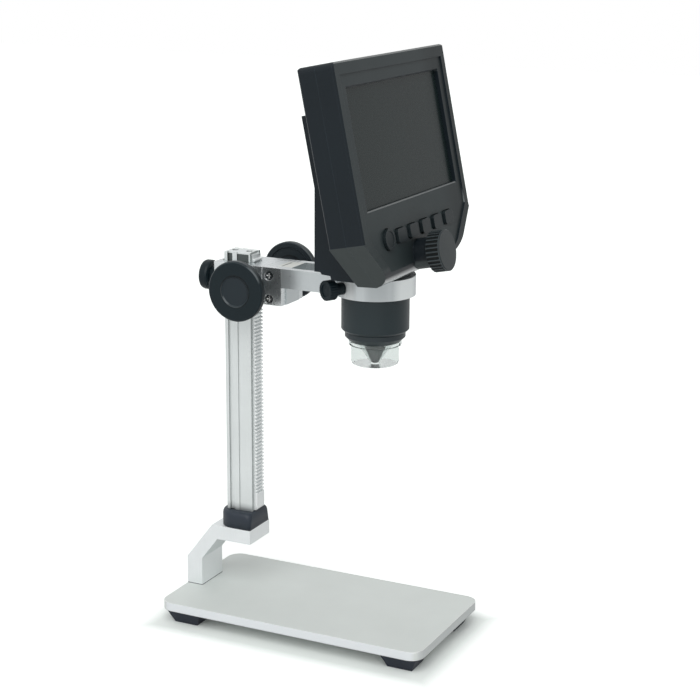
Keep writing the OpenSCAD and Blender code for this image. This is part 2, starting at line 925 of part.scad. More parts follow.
module nose_ring() {
    plug_r = barrel_r - barrel_wall - fit;
    plug_top = nose_h + 3.6;
    seat = nose_h - led_drop;
    taper = nose_r - cup_seat_r - 1;
    color("#33383a")
        on_barrel()
            translate([0, 0, -nose_h])
                rotate_extrude($fn = 96)
                    polygon([[cup_seat_r, 0], [nose_r - taper, 0], [nose_r, taper], [nose_r, nose_h - 0.4],
                        [nose_r - 0.4, nose_h], [plug_r, nose_h], [plug_r, plug_top],
                        [led_r - 1, plug_top], [led_r - 1, seat], [cup_seat_r, seat]]);
}

// The lamps stand under the board, inside the diffuser's collar
module led_board() {
    lamp = 2.2;
    lamp_h = 0.75;
    color("#2f6b46")
        on_barrel()
            union() {
                translate([0, 0, -led_drop - board_t])
                    difference() {
                        cylinder(r = led_r, h = board_t);
                        translate([0, 0, -over])
                            cylinder(r = led_r / 2, h = 2 * board_t);
                    }
                for (a = [0 : 45 : 315])
                    rotate([0, 0, a])
                        translate([led_r - 4.4, -lamp / 2, -led_drop - board_t - lamp_h + 0.05])
                            cube([lamp, lamp, lamp_h]);
            }
}

module baffle_cone() {
    tip_z = -nose_h - diffuser_h + 0.6;
    bend_z = tip_z + 7.2;
    mouth_r = led_r / 2 - 0.4;
    color("#141516")
        on_barrel()
            rotate_extrude()
                polygon([[1, tip_z], [1.7, tip_z], [mouth_r, bend_z], [mouth_r, -led_drop],
                    [mouth_r + 2.8, -led_drop], [mouth_r + 2.8, -led_drop + 0.8],
                    [mouth_r - 0.8, -led_drop + 0.8], [mouth_r - 0.8, bend_z + 0.2]]);
}

module diffuser_cup() {
    floor_z = -nose_h - diffuser_h;
    lip_r = diffuser_r + 1.25;
    neck_r = cup_seat_r - 0.1;
    color("#dfe8ea", 0.6)
        on_barrel()
            rotate_extrude($fn = 96)
                polygon([[2.2, floor_z], [diffuser_r - 1.5, floor_z], [diffuser_r - 0.45, floor_z + 0.45],
                    [diffuser_r, floor_z + 1.5], [diffuser_r, -nose_h - 1.6], [lip_r, -nose_h - 1.6],
                    [lip_r, -nose_h], [neck_r, -nose_h], [neck_r, -nose_h + 1.7],
                    [neck_r - 1.6, -nose_h + 1.7], [neck_r - 1.6, -nose_h - 1],
                    [led_r / 2, floor_z + 5.8], [2.2, floor_z + 0.6]]);
}

module lens_carrier() {
    normal_pitch = PI * focus_module;
    addendum = 0.65 * focus_module;
    dedendum = 1.15 * focus_module;
    pitch_x = focus_u + focus_gear_r;
    half = normal_pitch / 4 - backlash / 4;
    tip = half - addendum * tan(pressure);
    root = half + dedendum * tan(pressure);
    back_x = pitch_x + 4.4;
    side_teeth = ceil(lens_travel / normal_pitch);
    teeth = [for (i = [-side_teeth : side_teeth])
        each [[pitch_x + dedendum, i * normal_pitch - root], [pitch_x - addendum, i * normal_pitch - tip],
            [pitch_x - addendum, i * normal_pitch + tip], [pitch_x + dedendum, i * normal_pitch + root]]];
    reach_v = (side_teeth + 0.5) * normal_pitch;
    color("#1f2224")
        difference() {
            union() {
                translate([0, barrel_y, carrier_z0])
                    cylinder(r = carrier_r, h = carrier_z1 - carrier_z0, $fn = 96);
                // The rack stands in front of the tube, its teeth in line with the tilted shaft
                head()
                    translate([0, 0, focus_v])
                        union() {
                            in_depth(focus_gear_w0, focus_gear_w0 + focus_gear_l)
                                polygon(concat([[back_x, -reach_v], [pitch_x + dedendum, -reach_v]],
                                    teeth, [[pitch_x + dedendum, reach_v], [back_x, reach_v]]));
                            translate([pitch_x + dedendum, focus_gear_w0, -reach_v])
                                cube([back_x - pitch_x - dedendum, 6, 2 * reach_v]);
                        }
            }
            translate([0, barrel_y, carrier_z0 - over])
                cylinder(r = carrier_r - carrier_wall, h = carrier_z1 - carrier_z0 + 2 * over, $fn = 96);
        }
}

module objective_lens() {
    color("#b9d6e2", 0.6)
        translate([0, barrel_y, carrier_z0 + 1])
            rotate_extrude($fn = 96)
                polygon([[0, -0.6], [4, -0.4], [carrier_r - carrier_wall - fit, 0.4],
                    [carrier_r - carrier_wall - fit, 3], [4, 3.8], [0, 4]]);
}

// ---------- screen housing ----------

// Round post in the housing's frame, from depth w0 to w1
module post(u, v, r, w0, w1) {
    translate([u, 0, v])
        rod_y(r, w0, w1);
}

module for_case_posts() {
    for (s = [-1, 1]) {
        translate([s * post_u, 0, post_v])
            children();
        translate([s * low_post_u, 0, low_post_v])
            children();
    }
}

// Sideways place of key i, where the round one is -1
function key_place(i) = i < 0 ? round_key_u : key_shift + (i - 2) * key_pitch;

module key_hole(i, gap) {
    if (i < 0)
        translate([round_key_u, key_v])
            circle(round_key_d / 2 - gap);
    else
        translate([key_place(i), key_v])
            round_rect(key_w - 2 * gap, key_h - 2 * gap, 1.4);
}

module front_shell() {
    color("#2b2f33")
        difference() {
            union() {
                difference() {
                    head_block(0, front_d, 0, 0, chin_r);
                    head_block(fascia_t, front_d + over, wall, wall, chin_r - wall);
                }
                intersection() {
                    head_block(0, front_d, 0.5, 0.5, chin_r);
                    head()
                        union() {
                            for_case_posts()
                                rod_y(post_r, 1, front_d);
                            for (s = [-1, 1], v = frame_v)
                                post(s * frame_u, v, frame_post_r, 1, lcd_back);
                            // Ledge behind the screen opening, on which the glass lies
                            translate([0, 0, lcd_v])
                                in_depth(1, glass_w0)
                                    square([screen_w + 4, screen_h + 4], center = true);
                        }
                }
                head() {
                    post(focus_u, focus_v, focus_stem_r, 1, front_d);
                    // Round boss behind the focus knob, standing on the sunken field
                    post(focus_u, focus_v, focus_boss_r, -focus_out + focus_l + 0.4, fascia_t);
                }
            }
            head() {
                // Sunken field round the boss, screen opening and key holes
                in_depth(-1, field_t)
                    difference() {
                        head_outline(rim_w);
                        translate([-far, head_h - rim_w - 1.15])
                            square(2 * far);
                        translate([focus_u, focus_v])
                            circle(focus_boss_r);
                    }
                in_depth(-1, fascia_t + 1)
                    translate([0, lcd_v])
                        round_rect(screen_w, screen_h, 1);
                // Bevel along the upper and the lower edge of the opening
                for (s = [-1, 1])
                    translate([0, field_t, lcd_v + s * screen_h / 2])
                        bevel_bar(-screen_w / 2, screen_w / 2, 0.6);
                for (i = [-1 : 4])
                    in_depth(field_t - key_rise - 1, fascia_t + 1)
                        key_hole(i, 0);
                post(focus_u, focus_v, focus_shaft_r + fit, -focus_out, front_d + over);
                for_case_posts()
                    rod_y(case_r + fit, 3, front_d + over);
                for (s = [-1, 1], v = frame_v)
                    post(s * frame_u, v, small_r + fit, lcd_back - 3.2, lcd_back + over);
                rim_bevel(0, 0.8);
            }
        }
}

module rear_shell() {
    color("#272b2f")
        difference() {
            union() {
                difference() {
                    head_block(front_d, head_d, 0, 0, 0.2);
                    head_block(front_d - over, head_d - wall, wall, wall, 0.2);
                }
                head() {
                    for_case_posts()
                        rod_y(post_r, front_d, head_d - 0.5);
                    for (s = [-1, 1], v = board_post_v)
                        post(s * board_post_u, v, pillar_r, board_w0 + board_t, head_d - 0.5);
                }
            }
            head() {
                translate([-mouth_u, head_d - wall - over, mouth_v0])
                    cube([2 * mouth_u, wall + 2 * over, mouth_v1 - mouth_v0]);
                for_case_posts()
                    union() {
                        rod_y(case_r + fit, front_d - over, head_d + over);
                        rod_y(case_head_r + fit, head_d - case_sink, head_d + over);
                    }
                for (s = [-1, 1], v = board_post_v)
                    post(s * board_post_u, v, small_r + fit, board_w0, head_d - 1.2);
                for (s = [-1, 1], v = rear_boss_v)
                    post(s * rear_boss_u, v, case_r + fit, head_d - wall - over, head_d + over);
                // Window of the charging socket
                translate([head_w / 2 - 4, board_w0 + board_t - loose_gap, port_v - port_w / 2 - loose_gap])
                    cube([6, port_t + 2 * loose_gap, port_w + 2 * loose_gap]);
                rim_bevel(head_d, 0.8);
            }
            translate([0, barrel_y, head_z - over])
                cylinder(r = spigot_r + fit, h = wall + 1, $fn = 96);
        }
}

// Side profile of the rear housing in Y and Z; the heel rises towards the back
module rear_side(inset, floor_h) {
    back = barrel_y + rear_back - inset;
    w = rear_d - inset;
    v_bend = (back - head_y - w * cos(tilt)) / sin(tilt);
    top = rear_v - inset;
    heel = inset > 0 ? [] : [[back, head_z + 3.4], [back - 3, head_z + 3.4], [back - 3.8, head_z + 2.3],
        [back - 8.3, head_z + 2], [back - 8.8, head_z]];
    inner = inset > 0 ? [[back, head_z + floor_h]] : [];
    w0 = inset > 0 ? head_d - over : head_d;
    upper = [head_yz(w0, face_v(w0, floor_h)), head_yz(w0, top), head_yz(w, top), head_yz(w, v_bend)];
    polygon(concat(upper, heel, inner));
}

module rear_housing() {
    color("#24282c")
        difference() {
            union() {
                difference() {
                    along_x(rear_w)
                        rear_side(0, 0);
                    along_x(rear_w - 2 * wall)
                        rear_side(wall, rear_floor);
                }
                head() {
                    for (s = [-1, 1], v = rear_boss_v)
                        post(s * rear_boss_u, v, 2.3, head_d, head_d + rear_boss_l);
                    for (s = [-1, 1])
                        post(s * cover_screw_u, cell_v, pillar_r, rear_d - cover_post_l, rear_d - cover_t);
                    // Shelf under the battery
                    translate([-rear_w / 2 + wall / 2, head_d + 4, cell_v - cell_h / 2 - 2])
                        cube([rear_w - wall, rear_d - wall - head_d - 3.8, 2]);
                }
                for (s = [-1, 1], dy = pillar_y)
                    translate([s * pillar_x, barrel_y + dy, head_z + rear_floor - 0.5])
                        cylinder(r = pillar_r, h = sensor_z - head_z - rear_floor + 0.5);
            }
            head() {
                // Seat of the battery cover and the opening behind it
                translate([-cover_w / 2 - slide_gap, rear_d - cover_t, cell_v - cover_h / 2 - slide_gap])
                    cube([cover_w + 2 * slide_gap, 5, cover_h + 2 * slide_gap]);
                translate([-cell_w / 2, rear_d - wall - 1, cell_v - cell_h / 2])
                    cube([cell_w, 5, cell_h + 1]);
                for (s = [-1, 1])
                    post(s * cover_screw_u, cell_v, small_r + fit, rear_d - cover_post_l + 0.5, rear_d);
                for (s = [-1, 1], v = rear_boss_v)
                    post(s * rear_boss_u, v, case_r + fit, head_d - over, head_d + rear_boss_l - 1);
            }
            translate([0, barrel_y, head_z - over])
                cylinder(r = spigot_r + fit, h = rear_floor + 2 * over, $fn = 96);
            for (sx = [-1, 1], sy = [-1, 1])
                translate([sx * barrel_screw_x, barrel_y + sy * barrel_screw_dy, head_z - over])
                    cylinder(r = case_r + fit, h = rear_floor + 2 * over);
            for (s = [-1, 1], dy = pillar_y)
                translate([s * pillar_x, barrel_y + dy, sensor_z - 4])
                    cylinder(r = small_r + fit, h = 4 + over);
        }
}

module case_screws() {
    color("#8f9396")
        head()
            for_case_posts()
                translate([0, head_d - case_sink, 0])
                    rotate([-90, 0, 0])
                        screw(case_r, head_d - case_sink - 4, case_head_r, case_head_h);
}

module rear_screws() {
    color("#8f9396")
        head()
            for (s = [-1, 1], v = rear_boss_v)
                translate([s * rear_boss_u, head_d - wall, v])
                    rotate([90, 0, 0])
                        screw(case_r, wall + rear_boss_l - 2, case_head_r, case_head_h);
}

module battery_cover() {
    color("#1f2326")
        head()
            difference() {
                translate([0, 0, cell_v])
                    in_depth(rear_d - cover_t, rear_d)
                        round_rect(cover_w, cover_h, 1.5);
                for (s = [-1, 1])
                    post(s * cover_screw_u, cell_v, small_r + fit, rear_d - 3, rear_d + over);
                for (s = [-1, 1])
                    post(s * cover_screw_u, cell_v, small_head_r, rear_d - 0.7, rear_d + over);
                // Finger groove
                translate([-8, rear_d - 0.5, cell_v - cover_h / 2 + 2.5])
                    cube([16, 1, 2.2]);
            }
}

module cover_screws() {
    color("#8f9396")
        head()
            for (s = [-1, 1])
                translate([s * cover_screw_u, rear_d - 0.7, cell_v])
                    rotate([-90, 0, 0])
                        screw(small_r, cover_post_l - 1.6, small_head_r - 0.1, small_head_h - 0.3);
}

module battery() {
    color("#4d7fae")
        head()
            translate([0, 0, cell_v])
                in_depth(rear_d - cover_t - loose_gap - cell_t, rear_d - cover_t - loose_gap)
                    round_rect(cell_w - 2 * loose_gap, cell_h - 2 * loose_gap, 2);
}

module screen_window() {
    color("#15181b")
        head()
            translate([0, 0, lcd_v])
                in_depth(glass_w0, glass_w0 + glass_t)
                    round_rect(screen_w + 2.6, screen_h + 2.6, 1);
}

module lcd_module() {
    color("#3a3f45")
        head()
            translate([-lcd_w / 2, lcd_w0, lcd_v - lcd_h / 2])
                cube([lcd_w, lcd_t, lcd_h]);
}

module lcd_frame() {
    tab_w = 2 * frame_post_r + 1;
    tab_l = 2 * frame_post_r + 1.5;
    color("#b5b9bc")
        head()
            difference() {
                union() {
                    translate([0, 0, lcd_v])
                        in_depth(lcd_back, lcd_back + frame_t)
                            difference() {
                                square([lcd_w, lcd_h], center = true);
                                square([lcd_w - 24, lcd_h - 20], center = true);
                            }
                    // A tab over each post
                    for (s = [-1, 1], dv = [-1, 1])
                        translate([s * frame_u - tab_w / 2, lcd_back,
                            lcd_v + dv * (frame_dv + frame_post_r - tab_l / 2) - tab_l / 2])
                            cube([tab_w, frame_t, tab_l]);
                }
                for (s = [-1, 1], v = frame_v)
                    post(s * frame_u, v, small_r + fit, lcd_back - over, lcd_back + 2);
            }
}

module frame_screws() {
    color("#8f9396")
        head()
            for (s = [-1, 1], v = frame_v)
                translate([s * frame_u, lcd_back + frame_t, v])
                    rotate([-90, 0, 0])
                        screw(small_r, frame_t + 3, small_head_r, small_head_h);
}

// A part on the main board, at shares of its width and height, on its front or its back
module board_part(share_u, share_v, w, h, t, side) {
    u = share_u * board_u;
    v = board_v0 + share_v * (board_v1 - board_v0);
    translate([u - w / 2, side > 0 ? board_w0 + board_t - 0.2 : board_w0 - t, v - h / 2])
        cube([w, t + 0.2, h]);
}

module main_board() {
    tab_h = port_w + 4;
    chip = board_u * 0.3;
    color("#2f6b46")
        head()
            difference() {
                union() {
                    translate([-board_u, board_w0, board_v0])
                        cube([2 * board_u, board_t, board_v1 - board_v0]);
                    // Tab that carries the charging socket
                    translate([board_u - 1, board_w0, port_v - tab_h / 2])
                        cube([head_w / 2 - wall - board_u + 0.4, board_t, tab_h]);
                    // Processor, memory, coil and connectors
                    board_part(-0.1, 0.41, chip, chip, 1.1, -1);
                    board_part(0.3, 0.41, chip * 0.8, chip * 0.6, 0.9, -1);
                    board_part(-0.57, 0.65, chip * 0.6, chip * 0.6, 1.2, -1);
                    board_part(-0.62, 0.24, chip * 0.9, chip * 0.36, 2.2, 1);
                    board_part(0.58, 0.82, chip * 0.65, chip * 0.65, 2.6, 1);
                }
                for (s = [-1, 1], v = board_post_v)
                    post(s * board_post_u, v, small_r + fit, board_w0 - over, board_w0 + board_t + over);
            }
}

module board_screws() {
    color("#8f9396")
        head()
            for (s = [-1, 1], v = board_post_v)
                translate([s * board_post_u, board_w0, v])
                    rotate([90, 0, 0])
                        screw(small_r, board_t + 3.8, small_head_r, small_head_h);
}

module usb_socket() {
    l = 7.4;
    color("#c9cdd0")
        head()
            translate([head_w / 2 - 0.8 - l, board_w0 + board_t, port_v - port_w / 2])
                difference() {
                    cube([l, port_t, port_w]);
                    translate([1.5, 0.5, 0.6])
                        cube([l, port_t - 1, port_w - 1.2]);
                    translate([1.4, 0.5, 0.6])
                        cube([1.2, port_t - 1, port_w - 1.2]);
                }
}

module key_board() {
    u0 = round_key_u - round_key_d / 2 - 2.25;
    u1 = key_place(4) + key_w / 2 + 2.1;
    half_h = key_h / 2 + 1.9;
    switch = 4.4;
    color("#2f6b46")
        head()
            union() {
                translate([u0, key_board_w0, key_v - half_h])
                    cube([u1 - u0, board_t, 2 * half_h]);
                for (i = [-1 : 4])
                    translate([key_place(i) - switch / 2, switch_top, key_v - switch / 2])
                        cube([switch, key_board_w0 - switch_top + 0.1, switch]);
            }
}

module sensor_board() {
    margin = 3;
    chip = barrel_r * 0.54;
    color("#2f6b46")
        difference() {
            union() {
                translate([-pillar_x - margin, barrel_y + pillar_y[0] - margin, sensor_z])
                    cube([2 * (pillar_x + margin), pillar_y[1] - pillar_y[0] + 2 * margin, board_t]);
                translate([-chip / 2, barrel_y - chip / 2, sensor_z - 1.4])
                    cube([chip, chip, 1.5]);
            }
            for (s = [-1, 1], dy = pillar_y)
                translate([s * pillar_x, barrel_y + dy, sensor_z - over])
                    cylinder(r = small_r + fit, h = 2 * board_t);
        }
}

module sensor_screws() {
    color("#8f9396")
        for (s = [-1, 1], dy = pillar_y)
            translate([s * pillar_x, barrel_y + dy, sensor_z + board_t])
                screw(small_r, board_t + 3.4, small_head_r, small_head_h);
}

// ---------- keys and focus drive ----------

module key(i) {
    front = field_t - key_rise;
    flange_w0 = fascia_t + 0.1;
    color("#33383c")
        head()
            difference() {
                union() {
                    in_depth(front, flange_w0 + 0.2)
                        key_hole(i, key_gap);
                    in_depth(flange_w0, flange_w0 + key_flange_t)
                        key_hole(i, -key_flange);
                    post(key_place(i), key_v, stem_r, flange_w0 + 0.3, switch_top - key_travel - 0.05);
                }
                // The round key is dished
                if (i < 0)
                    post(round_key_u, key_v, round_key_d * 0.36, front - over, front + 0.3);
            }
}

module key_power() { key(-1); }
module key_2() { key(0); }
module key_3() { key(1); }
module key_4() { key(2); }
module key_5() { key(3); }
module key_6() { key(4); }

module focus_knob() {
    teeth = 30;
    w_in = -focus_out + focus_l;
    color("#2a2d30")
        head()
            translate([focus_u, 0, focus_v])
                difference() {
                    rotate([90, 0, 0])
                        translate([0, 0, -w_in])
                            rotate_extrude($fn = 64)
                                polygon([[0, 0], [focus_r - 0.4, 0], [focus_r, 0.4],
                                    [focus_r, focus_l - 0.3], [focus_r - 0.3, focus_l], [0, focus_l]]);
                    for (a = [0 : 360 / teeth : 359])
                        rotate([0, a, 0])
                            translate([focus_r, 0, 0])
                                rod_y(0.7, -focus_out + 0.8, w_in + over);
                    rod_y(focus_shaft_r + fit, w_in - focus_l + 2, w_in + over);
                }
}

module focus_shaft() {
    root_r = focus_gear_r - 0.65 * focus_module - 0.12;
    tip_r = focus_gear_r + 0.9 * focus_module;
    color("#a9aeb2")
        head()
            translate([focus_u, 0, focus_v])
                union() {
                    rod_y(focus_shaft_r, -focus_out + 2 + fit, focus_gear_w0 + focus_gear_l);
                    // A tooth gap faces the rack
                    translate([0, focus_gear_w0 + focus_gear_l, 0])
                        rotate([90, 0, 0])
                            linear_extrude(focus_gear_l)
                                rotate([0, 0, 180 / focus_teeth])
                                    gear_profile(focus_teeth, focus_module, root_r, tip_r);
                }
}

base_plate();
feet();
column_bracket();
bracket_screws();
column_collar();
column();
column_screws();
gear_rack();
carriage_block();
gib();
side_screws();
arm_fork();
pinion_shaft();
knob_left();
knob_right();
lock_screw();
ring_screw();
barrel();
barrel_screws();
nose_ring();
led_board();
baffle_cone();
diffuser_cup();
lens_carrier();
objective_lens();
front_shell();
rear_shell();
rear_housing();
case_screws();
rear_screws();
battery_cover();
cover_screws();
battery();
screen_window();
lcd_module();
lcd_frame();
frame_screws();
main_board();
board_screws();
usb_socket();
key_board();
sensor_board();
sensor_screws();
key_power();
key_2();
key_3();
key_4();
key_5();
key_6();
focus_knob();
focus_shaft();
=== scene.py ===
"""Looks of the digital microscope on its rack stand: finishes, a rounder collar, light, camera."""

import math

import bmesh
import bpy
from mathutils import Matrix, Vector


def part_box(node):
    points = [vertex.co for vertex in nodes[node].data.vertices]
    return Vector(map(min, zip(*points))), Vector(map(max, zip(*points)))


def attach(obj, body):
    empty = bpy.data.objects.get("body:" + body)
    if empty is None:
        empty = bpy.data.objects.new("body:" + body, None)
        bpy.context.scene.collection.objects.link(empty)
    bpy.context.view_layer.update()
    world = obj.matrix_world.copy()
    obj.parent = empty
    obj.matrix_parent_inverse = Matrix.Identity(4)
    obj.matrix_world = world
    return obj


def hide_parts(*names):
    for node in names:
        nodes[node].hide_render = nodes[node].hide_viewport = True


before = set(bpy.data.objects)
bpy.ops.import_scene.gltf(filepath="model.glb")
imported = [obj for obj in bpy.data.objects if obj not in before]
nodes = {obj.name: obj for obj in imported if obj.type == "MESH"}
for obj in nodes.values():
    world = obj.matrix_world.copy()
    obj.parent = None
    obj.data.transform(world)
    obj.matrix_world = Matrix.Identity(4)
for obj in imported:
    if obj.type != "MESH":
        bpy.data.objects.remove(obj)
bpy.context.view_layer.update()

MM = 0.001

# ---------------------------------------------------------------- camera

IMAGE_SIDE = 700  # pixels
SENSOR = 36.0  # mm
FOCAL_PIXELS = 1717.0
CAMERA_PLACE = Vector((-733.6, -375.1, 357.8)) * MM
CAMERA_YAW = math.radians(-63.95)
CAMERA_PITCH = math.radians(14.48)
CAMERA_ROLL = math.radians(0.32)
CAMERA_NEAR = 0.05  # metres
CAMERA_FAR = 50


def add_camera():
    """The camera, from its place, heading, pitch and roll."""
    data = bpy.data.cameras.new("camera")
    data.sensor_width = SENSOR
    data.lens = FOCAL_PIXELS * SENSOR / IMAGE_SIDE
    data.clip_start = CAMERA_NEAR
    data.clip_end = CAMERA_FAR
    camera = bpy.data.objects.new("camera", data)
    bpy.context.scene.collection.objects.link(camera)
    back = Vector(
        (
            math.sin(CAMERA_YAW) * math.cos(CAMERA_PITCH),
            -math.cos(CAMERA_YAW) * math.cos(CAMERA_PITCH),
            math.sin(CAMERA_PITCH),
        )
    )
    right = Vector((math.cos(CAMERA_YAW), math.sin(CAMERA_YAW), 0))
    up = back.cross(right)
    turned_right = right * math.cos(CAMERA_ROLL) + up * math.sin(CAMERA_ROLL)
    turned_up = up * math.cos(CAMERA_ROLL) - right * math.sin(CAMERA_ROLL)
    turn = Matrix((turned_right, turned_up, back)).transposed()
    camera.matrix_world = Matrix.Translation(CAMERA_PLACE) @ turn.to_4x4()
    bpy.context.scene.camera = camera


# ---------------------------------------------------------------- short calls for shader nodes


def feed(tree, socket, value):
    """Links a socket to another, or sets its number."""
    if isinstance(value, bpy.types.NodeSocket):
        tree.links.new(value, socket)
    else:
        socket.default_value = value


def maths(tree, operation, first, second=0.0):
    """A math node on two sockets or numbers."""
    node = tree.nodes.new("ShaderNodeMath")
    node.operation = operation
    feed(tree, node.inputs[0], first)
    feed(tree, node.inputs[1], second)
    return node.outputs[0]


def ramp(tree, value, low, high, to_low, to_high):
    """Maps a value from one range to another, held at its ends."""
    node = tree.nodes.new("ShaderNodeMapRange")
    for name, number in (
        ("From Min", low),
        ("From Max", high),
        ("To Min", to_low),
        ("To Max", to_high),
    ):
        node.inputs[name].default_value = number
    tree.links.new(value, node.inputs["Value"])
    return node.outputs["Result"]


def blend(tree, factor, first, second):
    """One shader or another, by a factor from 0 to 1."""
    node = tree.nodes.new("ShaderNodeMixShader")
    tree.links.new(factor, node.inputs[0])
    tree.links.new(first, node.inputs[1])
    tree.links.new(second, node.inputs[2])
    return node.outputs[0]


def split_place(tree, coordinates):
    """A texture coordinate's X, Y and Z."""
    split = tree.nodes.new("ShaderNodeSeparateXYZ")
    tree.links.new(tree.nodes.new("ShaderNodeTexCoord").outputs[coordinates], split.inputs[0])
    return split.outputs


# ---------------------------------------------------------------- light and floor

AMBIENT = 0.54  # how strongly the world lights the object
KEY_DIRECTION = Vector((-0.74, -0.22, 0.72))  # from the object towards the light
KEY_STRENGTH = 1.8
KEY_ANGLE = math.radians(50)
GLOW_BACK = 1.0  # what polished faces see of the room behind the object and on its left
GLOW_FRONT = 0.75  # and of its front right corner
GLOW_TURN = (0.6, 1.2)  # between these directions, as X less Y, it goes from one to the other
WHITE = 1.0  # the world's strength to the camera
FLOOR_SIDE = 6.0
FLOOR_SEEN = (0.885, 0.93, 0.905)  # the floor's albedo as the camera sees it
FLOOR_NEAR = 0.0  # its own glow to the camera beside the plate
FLOOR_FAR = 0.34  # and further away, which takes the open floor to white
FLOOR_REACH = (0.002, 0.012)  # the distances from the plate where the one turns into the other
FLOOR_BOUNCE = (0.76, 0.76, 0.76)  # its albedo for the light that it throws back
FLOOR_BACK = 1.0  # its albedo in polished faces, behind the object and on its left
FLOOR_FRONT = 0.8  # and at its front right corner
FLOOR_TURN = (0.03, 0.10)  # between these places, as X less Y, it goes from one to the other


def to_front_right(tree, coordinates):
    """How far a texture coordinate lies to the front right: X less Y."""
    place = split_place(tree, coordinates)
    return maths(tree, "SUBTRACT", place["X"], place["Y"])


def from_plate(tree):
    """How far a point of the floor lies outside the base plate."""
    low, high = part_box("base_plate")
    place = split_place(tree, "Object")
    beyond = []
    for axis, letter in enumerate("XY"):
        size = maths(tree, "ABSOLUTE", place[letter])
        beyond.append(maths(tree, "SUBTRACT", size, (high[axis] - low[axis]) / 2))
    return maths(tree, "MAXIMUM", *beyond)


def looked_at(tree, paths):
    """1 for the camera's rays, also where they have passed through a clear piece."""
    return maths(tree, "MAXIMUM", paths["Is Camera Ray"], paths["Is Transmission Ray"])


def add_world():
    """White to the camera, darker to the front right in reflections, and plain light elsewhere."""
    world = bpy.data.worlds.new("studio")
    bpy.context.scene.world = world
    world.use_nodes = True
    tree = world.node_tree
    tree.nodes.clear()
    paths = tree.nodes.new("ShaderNodeLightPath").outputs
    glows = []
    room = ramp(tree, to_front_right(tree, "Generated"), *GLOW_TURN, GLOW_BACK, GLOW_FRONT)
    for strength in (AMBIENT, room, WHITE):
        glow = tree.nodes.new("ShaderNodeBackground")
        glow.inputs["Color"].default_value = (1, 1, 1, 1)
        feed(tree, glow.inputs["Strength"], strength)
        glows.append(glow.outputs[0])
    lit, mirrored, white = glows
    unseen = blend(tree, paths["Is Glossy Ray"], lit, mirrored)
    out = tree.nodes.new("ShaderNodeOutputWorld")
    tree.links.new(blend(tree, looked_at(tree, paths), unseen, white), out.inputs[0])


def add_key_light():
    """One large soft light from the left, which gives the metal its bright sides."""
    data = bpy.data.lights.new("key", "SUN")
    data.energy = KEY_STRENGTH
    data.angle = KEY_ANGLE
    light = bpy.data.objects.new("key", data)
    bpy.context.scene.collection.objects.link(light)
    light.rotation_mode = "QUATERNION"
    light.rotation_quaternion = KEY_DIRECTION.to_track_quat("Z", "Y")


def plain(tree, colour):
    """A diffuse shader of one colour, or of a value that feeds it."""
    node = tree.nodes.new("ShaderNodeBsdfDiffuse")
    feed(tree, node.inputs["Color"], colour)
    return node.outputs[0]


def add_floor():
    """A plain white floor that keeps the object's shadow."""
    half = FLOOR_SIDE / 2
    mesh = bpy.data.meshes.new("floor")
    corners = [(-half, -half, 0), (half, -half, 0), (half, half, 0), (-half, half, 0)]
    mesh.from_pydata(corners, [], [(0, 1, 2, 3)])
    floor = bpy.data.objects.new("floor", mesh)
    bpy.context.scene.collection.objects.link(floor)
    material = bpy.data.materials.new("floor")
    material.use_nodes = True
    tree = material.node_tree
    tree.nodes.clear()
    paths = tree.nodes.new("ShaderNodeLightPath").outputs
    glow = tree.nodes.new("ShaderNodeEmission")
    lift = ramp(tree, from_plate(tree), *FLOOR_REACH, FLOOR_NEAR, FLOOR_FAR)
    tree.links.new(lift, glow.inputs["Strength"])
    seen = tree.nodes.new("ShaderNodeAddShader")
    tree.links.new(plain(tree, (*FLOOR_SEEN, 1)), seen.inputs[0])
    tree.links.new(glow.outputs[0], seen.inputs[1])
    albedo = ramp(tree, to_front_right(tree, "Object"), *FLOOR_TURN, FLOOR_BACK, FLOOR_FRONT)
    bounce = plain(tree, (*FLOOR_BOUNCE, 1))
    unseen = blend(tree, paths["Is Glossy Ray"], bounce, plain(tree, albedo))
    out = tree.nodes.new("ShaderNodeOutputMaterial")
    tree.links.new(blend(tree, looked_at(tree, paths), unseen, seen.outputs[0]), out.inputs[0])
    mesh.materials.append(material)


# ---------------------------------------------------------------- kinds of material

MOST = (0.3, 0.7)  # the range in which most of a noise lies
BEVEL_SAMPLES = 4
WEAR_AND_HIGHLIGHT_TURN = (0.995, 0.85)  # how far a rounded normal has turned where an edge's wear and painted highlight begin and are full

METAL_LINES = 2600  # the noises of metal, per metre
METAL_CLOUDS = 38
METAL_SCRATCHES = 900
LINE_SHARE = 0.16  # how much the drawn lines take on of their shade
LINE_SHADE = 0.86
LINE_RANGE = (0.25, 0.75)  # the range of their noise that the roughness follows
LINE_ROUGH = (-0.03, 0.05)  # and how far it goes to both sides
SCRATCH_GRAIN = (1, 0.06, 0.5)
SCRATCHED = (0.70, 0.78)  # where in its noise a scratch begins and is full
SCRATCH_POLISH = 0.06  # how much less rough it is
METAL_EDGE_SHARE = 0.85  # how much an edge takes on of its lighter shade, partly wear and partly a painted highlight
MATT_DROP = 0.75  # how much less metallic a matt part is

PLASTIC_CLOUDS = 30  # the noise of plastic, per metre
PLASTIC_DRIFT = 0.1  # how far its colour drifts to both sides
PLASTIC_ROUGH = 0.04  # and its roughness
FINE_SCALE = 1.7  # the fine grain's scale in the grit's
FINE_HEIGHT = 0.6  # and its height in the grit's
SPECKLED = (0.45, 0.75)  # where in the fine grain a speck begins and is full
SPECK_SHARE = 0.3  # how much it takes on of its shade
SPECK_SHADE = 2.5
PLASTIC_EDGE_SHARE = 0.8  # how much an edge takes on of its lighter shade, partly wear and partly a painted highlight
EDGE_POLISH = 0.08  # how much less rough it is
POLISH_DROP = 0.28  # how much less rough a polished part is

FLOW_SCALE = 60  # the flow marks of clear pieces, per metre
FLOW_STRETCH = (1, 1, 0.3)
FLOW_SHADES = (0.96, 1.03)
FLOW_HEIGHT = 6e-6  # metres
CLEAR_ROUNDING = 1.5e-4
HAZE_SCALE = 1500
HAZE = 0.06  # how much rougher the haze makes them

